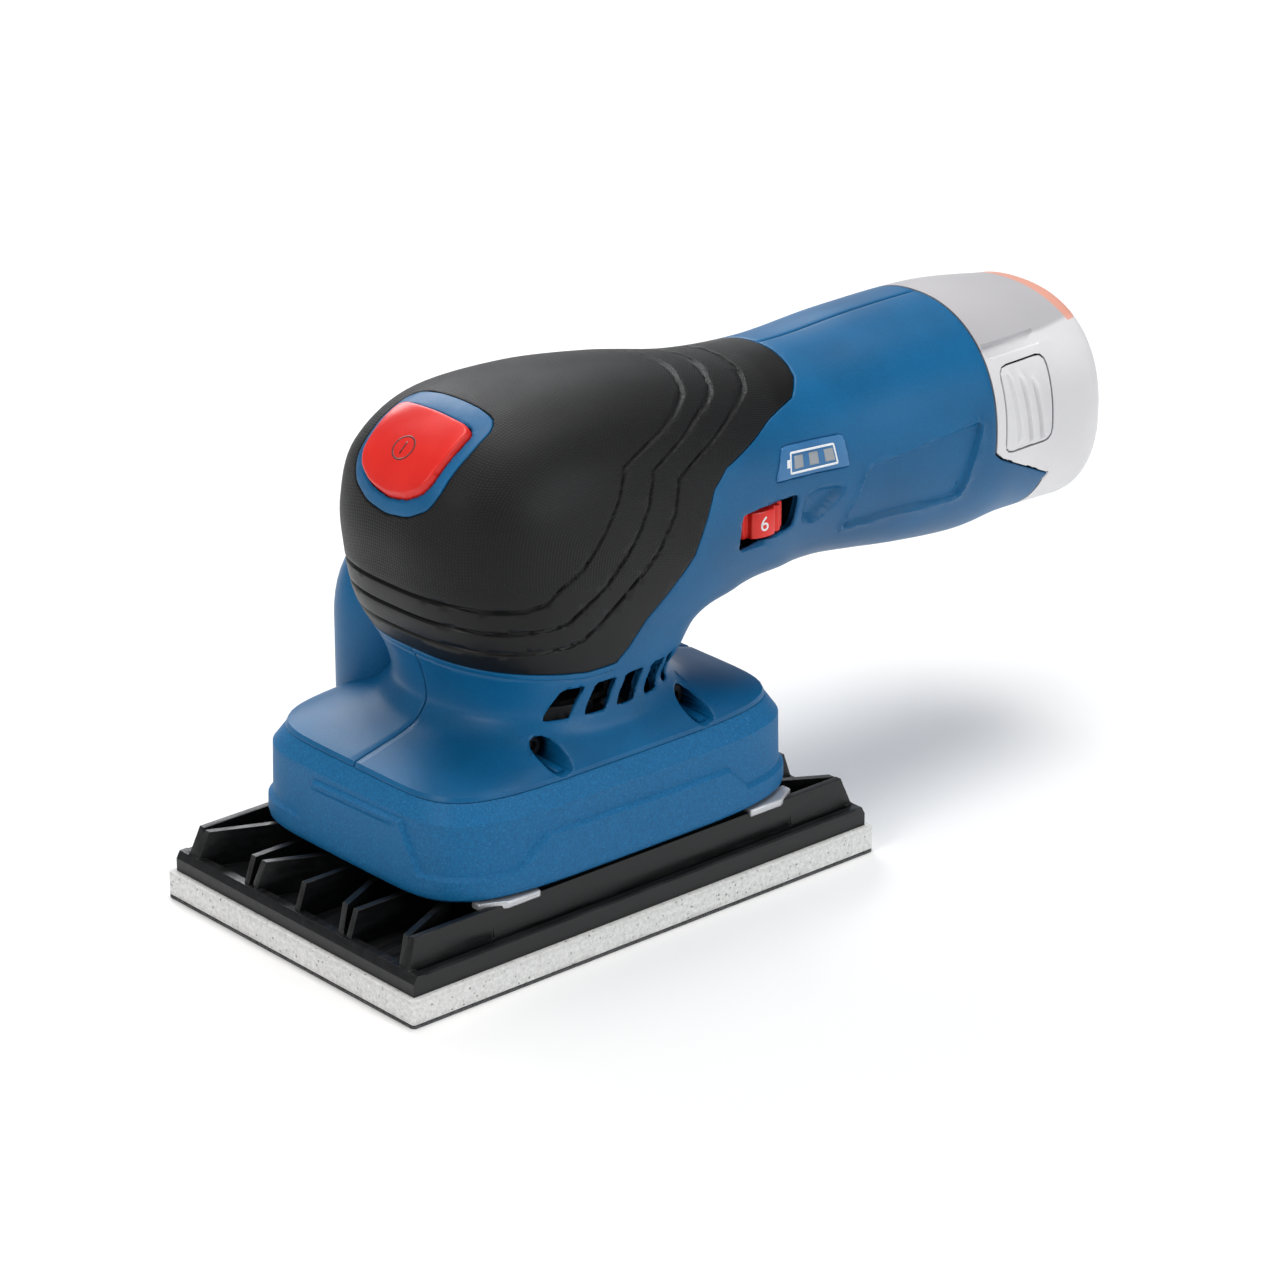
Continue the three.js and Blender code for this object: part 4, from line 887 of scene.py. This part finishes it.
presses = [
    (bothSides, gripOutline[1:-2], False, roundedOver(body["seam"])),
    (keyBoard, bezelOutline, True, roundedOver(body["seam"])),
    (keyBoard, grown(keyOutline, 0.16), True, roundedOver(0.7)),
    (keyBoard, grown(keyOutline, 0.16), True, stepped(0.3, key["crown"]), keyNormal),
    (keyBoard, circleLine(key["dish"], 24), True, stepped(3.5, -0.35), keyNormal),
    (nearSide, windowShape, True, roundedOver(0.6)),
    (nearSide, scoopShape, True, stepped(1.9, -1.6, -1.0)),
    (nearSide, chargeShape, True, roundedOver(0.3)),
    (nearSide, chargeShape, True, stepped(0.5, 0.35)),
    (nearSide, badgeShape, True, stepped(0.7, -0.9)),
    (nearSide, badgeShape, True, lambda d: 0.35 * np.exp(-((d - 0.8) / 0.4) ** 2)),
    (bothSides, lipLine, False, roundedOver(0.42)),
    (bothSides, latchOutline(), True, roundedOver(0.3)),
    (bothSides, batterySlot, False, ridge(1.0, 1.5, -1.1)),
]
gripGroove = groove(body["grooveWidth"], body["grooveDepth"])
presses += [(bothSides, line, False, gripGroove) for line in gripGrooves]
presses.append((bothSides, collarLine, False, groove(0.4, 0.3)))
presses += [(board, shape, True, roundedOver(lip)) for board, shape, lip in holes]
presses += [(bothSides, line, False, ridge(0.5, 0.95, 0.8)) for line in latchRibs]
pressLines(skin, presses)
print("lines pressed")


def sinkBore(bm, x, z, side, depth):  # runs straight in from the edge of its hole
    rim = [e for e in bm.edges if e.is_boundary and all(
        math.hypot(v.co.x - x, v.co.z - z) < bore["rimReach"] and v.co.y * side > bore["leastWidth"]
        for v in e.verts)]
    for item in bmesh.ops.extrude_edge_only(bm, edges=rim)["geom"]:
        if isinstance(item, bmesh.types.BMVert):
            item.co.y = side * depth


def housingHalf(side, screws, name, node):
    half = keepPart(skin, "housing", side)
    for vert in half.verts:  # a fine line where the two halves meet
        if abs(vert.co.y) < 0.01:
            vert.co -= vert.normal * body["seamSink"]
            vert.co.y = side * body["seamGap"]
    for x, z, depth in screws:
        sinkBore(half, x, z, side, depth)
    finishPiece(half, name, "housing", "housingBlue", [node], body["walls"]["housing"])


walls = body["walls"]
housingHalf(-1, nearScrews, "housingRightShell", "housing_right")
housingHalf(1, farScrews, "housingLeftShell", "housing_left")
grip = keepPart(skin, "grip")
finishPiece(grip, "palmGrip", "housing", "gripRubber", ["soft_grip"], walls["grip"], sharp=50)
bezel = thickened(keepPart(skin, "bezel"), walls["bezel"], keyBoard, keyOutline, lambda place: keyNormal)
finishPiece(bezel, "keyFrame", "housing", "housingBlue", ["switch_bezel"])
redKey = thickened(keepPart(skin, "key"), walls["key"], keyBoard, keyOutline, lambda place: keyNormal)
finishPiece(redKey, "powerKey", "power_key", "keyRed", ["power_button"], sharp=40)
shell = thickened(keepPart(skin, "cap"), walls["cap"], bothSides, latchOutline(),
                  lambda place: Vector((0, math.copysign(1, place.y), 0)))
finishPiece(shell, "batteryShell", "battery", "batteryGrey", ["battery_cap"])
for side, name, node, rider in ((-1, "latchNearPlate", "latch_right", "latch_near"),
                                (1, "latchFarPlate", "latch_left", "latch_far")):
    plate = keepPart(skin, "latch", side)
    finishPiece(plate, name, rider, "batteryGrey", [node], walls["latch"])
lens = keepPart(skin, "lens")
finishPiece(lens, "chargeWindow", "housing", "lensBlue", ["charge_lens"], walls["lens"])
print("body pieces ready")

# ---------- marks laid on the finished skin ----------

marks = {
    "ring": 2.7, "stroke": 0.42, "markU": -0.9, "bar": 1.5, "thick": 0.2, "keyLift": 0.04, "barLift": 0.06,
    "inkLift": 0.08, "frameHalf": 0.22, "battery": [(51.8, 85.4), (66.2, 84.0), (65.6, 88.2), (52.6, 89.5)],
    "bars": [(0.08, 0.28), (0.42, 0.62), (0.76, 0.96)], "barSpan": (0.18, 0.82), "nub": (-0.09, -0.02),
    "nubSpan": (0.3, 0.7),
}


def ribbon(rim, inner):
    return skinThrough([[Vector((u, v, 0)) for u, v in line] for line in (rim, inner)])


def between(corners, s, t):  # a place among four corners, low left first
    a, b, c, d = (Vector(p) for p in corners)
    return (a * (1 - s) + b * s) * (1 - t) + (d * (1 - s) + c * s) * t


def plaque(corners, across=5, up=4):
    bm = bmesh.new()
    bmesh.ops.create_grid(bm, x_segments=across, y_segments=up, size=0.5)
    for vert in bm.verts:
        vert.co = between(corners, vert.co.x + 0.5, vert.co.y + 0.5).to_3d()
    return bm


def cellPlaque(span, rise):  # a patch at shares of the drawn battery's length and height
    shares = [(span[0], rise[0]), (span[1], rise[0]), (span[1], rise[1]), (span[0], rise[1])]
    return plaque([tuple(between(marks["battery"], s, t)) for s, t in shares])


def writing(text, size):
    curve = bpy.data.curves.new("digit", "FONT")
    curve.body = text
    curve.size = size
    curve.align_x = curve.align_y = "CENTER"
    letter = bpy.data.objects.new("digit", curve)
    bpy.context.scene.collection.objects.link(letter)
    mesh = bpy.data.meshes.new_from_object(letter.evaluated_get(bpy.context.evaluated_depsgraph_get()))
    bm = bmesh.new()
    bm.from_mesh(mesh)
    bpy.data.objects.remove(letter)
    bpy.data.curves.remove(curve)
    bpy.data.meshes.remove(mesh)
    bmesh.ops.remove_doubles(bm, verts=bm.verts, dist=0.001)
    bmesh.ops.triangulate(bm, faces=bm.faces)
    return bm


def printOn(surface, board, bm, lift, name, rider, finish):  # lays a flat mark on a curved surface
    outward = board["u"].cross(board["v"])
    for vert in bm.verts:
        start = board["origin"] + board["u"] * vert.co.x + board["v"] * vert.co.y + outward * 60
        vert.co = surface.ray_cast(start, -outward)[0] + outward * lift
    bm.normal_update()
    turned = [f for f in bm.faces if f.normal.dot(outward) < 0]
    bmesh.ops.reverse_faces(bm, faces=turned)
    finishPiece(bm, name, rider, finish, wall=marks["thick"])


surface = BVHTree.FromBMesh(skin)
markU, half, reach = marks["markU"], marks["stroke"] / 2, marks["bar"]
mark = ribbon(circleLine(marks["ring"] + half, u=markU), circleLine(marks["ring"] - half, u=markU))
printOn(surface, keyBoard, mark, marks["keyLift"], "powerRing", "power_key", "keyMark")
bar = plaque([(markU - reach, -half), (markU + reach, -half), (markU + reach, half), (markU - reach, half)])
printOn(surface, keyBoard, bar, marks["keyLift"], "powerBar", "power_key", "keyMark")
outline = softCorners(marks["battery"], 0.25, 2)
frameMark = ribbon(grown(outline, marks["frameHalf"]), grown(outline, -marks["frameHalf"]))
printOn(surface, nearSide, frameMark, marks["inkLift"], "chargeFrame", "housing", "whiteInk")
for i, span in enumerate(marks["bars"], 1):
    chargeBar = cellPlaque(span, marks["barSpan"])
    printOn(surface, nearSide, chargeBar, marks["barLift"], f"chargeBar{i}", "housing", "greyInk")
nub = cellPlaque(marks["nub"], marks["nubSpan"])
printOn(surface, nearSide, nub, marks["inkLift"], "chargeNub", "housing", "whiteInk")
print("marks ready")

# ---------- skirt ----------

skirt = {
    "front": -47.7, "rear": 50, "halfWidth": 36, "base": 18.5, "band": 34.4, "edge": 38.3, "columns": 160,
    "wall": 2.4, "relief": 1.0, "draft": 0.4, "foot": 1.2,
    "noseLine": [(-60, 23.0), (-23.4, 23.0), (-17.9, 33.2), (10.4, 32.4), (15.6, 23.0), (60, 23.0)],
    "sideLine": [(-60, 23.0), (-30.9, 23.0), (-23.5, 29.3), (25.7, 28.7), (31.4, 23.0), (60, 23.0)],
    "noseGroove": [(-16.6, 31.9), (9.4, 31.2)],
}


def skirtRings():
    roof, base, draft, foot = body["roof"], skirt["base"], skirt["draft"], skirt["foot"]
    front, rear, halfWidth = skirt["front"], skirt["rear"], skirt["halfWidth"]
    rows = []
    for rise, pull in ((0, 0.6), (0.5, 0.12), (foot, 0)):
        rows.append((base + rise, front + pull, rear - pull, halfWidth - pull))
    for k in range(1, 13):
        share = k / 12
        z = base + foot + share * (skirt["band"] - base - foot)
        rows.append((z, front + draft * share, rear - draft * share, halfWidth))
    for share in (0.03, 0.1, 0.5, 0.9, 1.0):
        rows.append((
            skirt["band"] + share * (skirt["edge"] - skirt["band"]),
            front + draft + (roof["front"] - front - draft) * share,
            rear - draft + (roof["rear"] - rear + draft) * share,
            halfWidth + (roof["halfWidth"] - halfWidth) * share,
        ))
    return [ringPoints((low, z, high, z, half, 0, roof["square"], roof["across"]), skirt["columns"])
            for z, low, high, half in rows]


noseBoard = uprightBoard(lambda place, normal: abs(normal.x) >= abs(normal.y) and place.z < 34, (0, 1, 0))
flankBoard = uprightBoard(lambda place, normal: abs(normal.y) > abs(normal.x) and place.z < 34)
skirtSkin = skinThrough(skirtRings())
presses = [(noseBoard, skirt["noseGroove"], False, groove(0.5, 0.45))]
for board, line in ((noseBoard, skirt["noseLine"]), (flankBoard, skirt["sideLine"])):
    cutLine(skirtSkin, board, line, (-0.4, 0, 0.4))
    presses.append((board, line + [(60, 0), (-60, 0)], True, stepped(0.7, skirt["relief"])))
cutLine(skirtSkin, noseBoard, skirt["noseGroove"], (-0.5, -0.2, 0.2, 0.5))
pressLines(skirtSkin, presses)
finishPiece(skirtSkin, "skirtShell", "housing", "skirtBlue", ["skirt"], skirt["wall"])
print("skirt ready")

# ---------- pad, plate and carrier ----------

foam = {"corner": 0.9, "edge": 0.4, "fill": 1.0}


def squareBlock(low, high, corner, edge):
    bm = bmesh.new()
    bmesh.ops.create_cube(bm, size=1)
    size, middle = Vector(high) - Vector(low), (Vector(high) + Vector(low)) / 2
    bmesh.ops.scale(bm, vec=size, verts=bm.verts)
    bmesh.ops.translate(bm, vec=middle, verts=bm.verts)
    upright = [e for e in bm.edges if abs(e.verts[0].co.z - e.verts[1].co.z) > size.z / 2]
    bmesh.ops.bevel(bm, geom=upright, offset=corner, affect="EDGES", segments=5, profile=0.5, material=-1)
    flat = [e for e in bm.edges if abs(e.verts[0].co.z - e.verts[1].co.z) < 0.01]
    bmesh.ops.bevel(bm, geom=flat, offset=edge, affect="EDGES", segments=3, profile=0.5, material=-1)
    return bm


low, high = (Vector(corner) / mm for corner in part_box("foam_pad"))
block = squareBlock(low, high, foam["corner"], foam["edge"])
foamPad = finishPiece(block, "foamPad", "pad", "padFoam", ["foam_pad"])


def fromNode(node):
    bm = bmesh.new()
    bm.from_mesh(nodes[node].data)
    bmesh.ops.scale(bm, vec=(1 / mm,) * 3, verts=bm.verts)
    bmesh.ops.remove_doubles(bm, verts=bm.verts, dist=0.002)
    bmesh.ops.dissolve_limit(bm, angle_limit=math.radians(0.6), verts=bm.verts, edges=bm.edges)
    return bm


for node, name, finish, slot, bevel in (
    ("base_plate", "sandingPlate", "plateNylon", "plate_black", 0.22),
    ("carrier_plate", "carrierSheet", "carrierSteel", "steel", 0.15),
):
    finishPiece(fromNode(node), name, "pad", finish, [node], bevel=bevel)

ears = {
    "outline": [(-43, -31), (-43, -33.4), (-37.6, -36.3), (-29, -36.3), (-29, -31)],
    "low": 15.9, "high": 17.5, "middle": 3.0,
}


def slabOf(outline, low, high):
    bm = bmesh.new()
    verts = bmesh.ops.create_circle(bm, cap_ends=True, segments=len(outline), radius=1)["verts"]
    for vert, (x, y) in zip(verts, outline):
        vert.co = (x, y, low)
    raised = bmesh.ops.extrude_face_region(bm, geom=list(bm.faces))["geom"]
    raised = [g for g in raised if isinstance(g, bmesh.types.BMVert)]
    bmesh.ops.translate(bm, vec=(0, 0, high - low), verts=raised)
    bmesh.ops.recalc_face_normals(bm, faces=bm.faces)
    return bm


for i, (sx, sy) in enumerate(((1, 1), (1, -1), (-1, 1), (-1, -1)), 1):
    ear = slabOf([(ears["middle"] + sx * x, sy * y) for x, y in ears["outline"]], ears["low"], ears["high"])
    finishPiece(ear, f"carrierEar{i}", "pad", "earSteel", bevel=0.3)
print("pad ready")

# ---------- speed wheel ----------

wheel = {
    "centre": (44.6, -18.9), "radius": 8.3, "root": 7.55, "base": 73.4, "top": 79.4, "edge": 0.5,
    "ridges": 20, "columns": 240, "land": -97, "landHalf": 18, "crest": 1.35, "digit": 4.6, "digitLift": 0.05,
}


def wheelRadius(angle):
    apart = (math.degrees(angle) - wheel["land"] + 180) % 360 - 180
    if abs(apart) < wheel["landHalf"]:
        return wheel["radius"]
    wave = 0.5 + 0.5 * math.cos((math.radians(apart) - math.radians(wheel["landHalf"])) * wheel["ridges"])
    return wheel["root"] + (wheel["radius"] - wheel["root"]) * min(1, wave * wheel["crest"])


def wheelRing(z, pull):
    x, y = wheel["centre"]
    radii = [(a, wheelRadius(a) - pull) for a in turns(wheel["columns"])]
    return [Vector((x + radius * math.cos(a), y + radius * math.sin(a), z)) for a, radius in radii]


edge = wheel["edge"]
roundEdge = [(0, edge), (edge * 0.3, edge * 0.3), (edge, 0)]
wheelRings = [wheelRing(wheel["base"] + rise, pull) for rise, pull in roundEdge]
wheelRings += [wheelRing(wheel["top"] - rise, pull) for rise, pull in reversed(roundEdge)]
wheelSkin = skinThrough(wheelRings)
bmesh.ops.holes_fill(wheelSkin, edges=[e for e in wheelSkin.edges if e.is_boundary])
bmesh.ops.recalc_face_normals(wheelSkin, faces=wheelSkin.faces)
wheelSurface = BVHTree.FromBMesh(wheelSkin)
facing = math.radians(wheel["land"])
middle = (*wheel["centre"], (wheel["base"] + wheel["top"]) / 2)
digitBoard = seenFrom(middle, (-math.sin(facing), math.cos(facing), 0), (0, 0, 1), lambda place, normal: True)
digit = writing("6", wheel["digit"])
printOn(wheelSurface, digitBoard, digit, wheel["digitLift"], "speedDigit", "speed_dial", "whiteInk")
finishPiece(wheelSkin, "speedWheelRim", "speed_dial", "keyRed", ["speed_wheel"], sharp=40)
print("speed wheel ready")

# ---------- dust duct ----------

duct = {
    "x": -11.5, "y": 31, "radius": 11, "wall": 2.2, "base": 23, "elbow": 54, "bend": 10, "port": 30,
    "columns": 40, "collar": 1.0, "collarLength": 5.5, "lip": 0.4,
}


def ductPath():
    points = [Vector((duct["x"], duct["y"], z)) for z in np.linspace(duct["base"], duct["elbow"], 12)]
    corner = Vector((duct["x"], duct["y"], duct["elbow"] + duct["bend"]))
    start, end = points[-1], corner + Vector((duct["bend"], 0, 0))
    for k in range(1, 13):
        t = k / 12
        points.append(start * (1 - t) ** 2 + corner * (2 * t * (1 - t)) + end * t * t)
    points += [Vector((x, duct["y"], end.z)) for x in np.linspace(end.x, duct["port"], 10)[1:]]
    return points


def ductRing(points, i, radius):
    ahead = (points[min(i + 1, len(points) - 1)] - points[max(i - 1, 0)]).normalized()
    side = Vector((0, 1, 0))
    up = ahead.cross(side)
    line = circleLine(radius, duct["columns"])
    return [points[i] + side * a + up * b for a, b in line]


path = ductPath()
places = range(len(path))
outer, collar, lip = duct["radius"], duct["radius"] + duct["collar"], duct["lip"]
inner = outer - duct["wall"]
collarStart = duct["port"] - duct["collarLength"]
ductRings = [ductRing(path, i, collar if path[i].x > collarStart else outer) for i in places]
for radius in (collar - lip, inner + lip):
    ductRings.append([p + Vector((lip, 0, 0)) for p in ductRing(path, places[-1], radius)])
ductRings += [ductRing(path, i, inner) for i in reversed(places)]
ductSkin = skinThrough(ductRings)
finishPiece(ductSkin, "dustDuct", "housing", "housingBlue", ["dust_duct"], sharp=50)
print("duct ready")

# ---------- the kept CAD pieces take their finishes ----------

keptFinishes = {
    "hookFelt": ["hook_facing"],
    "rubberFoot": [f"elastic_foot_{i}" for i in range(1, 5)],
    "screwSteel": [f"plate_screw_{i}" for i in range(1, 5)] + [f"housing_screw_{i}" for i in range(1, 6)],
    "bearingSteel": ["pad_bearing", "lower_bearing", "upper_bearing", "motor_shaft"],
    "weightIron": ["eccentric_hub", "counterweight"],
    "laminations": ["rotor_core", "stator_core"],
    "copperWire": ["winding_lower", "winding_upper"],
    "shieldAlloy": ["bearing_bridge", "top_shield", "contact_blade_1", "contact_blade_2"],
    "plateNylon": ["cooling_fan", "switch_module", "dial_potentiometer", "terminal_block"],
    "circuitLacquer": ["control_board"],
    "shrinkSleeve": ["battery_cell_1", "battery_cell_2", "battery_cell_3"],
    "batteryGrey": ["battery_stem"],
}
for finish, names in keptFinishes.items():
    for name in names:
        mesh = nodes[name].data
        mesh.materials.clear()
        mesh.materials.append(finishes[finish])
        mesh.shade_smooth()
        mesh.set_sharp_from_angle(angle=math.radians(30))
print("kept pieces finished")

low, high = cadBox
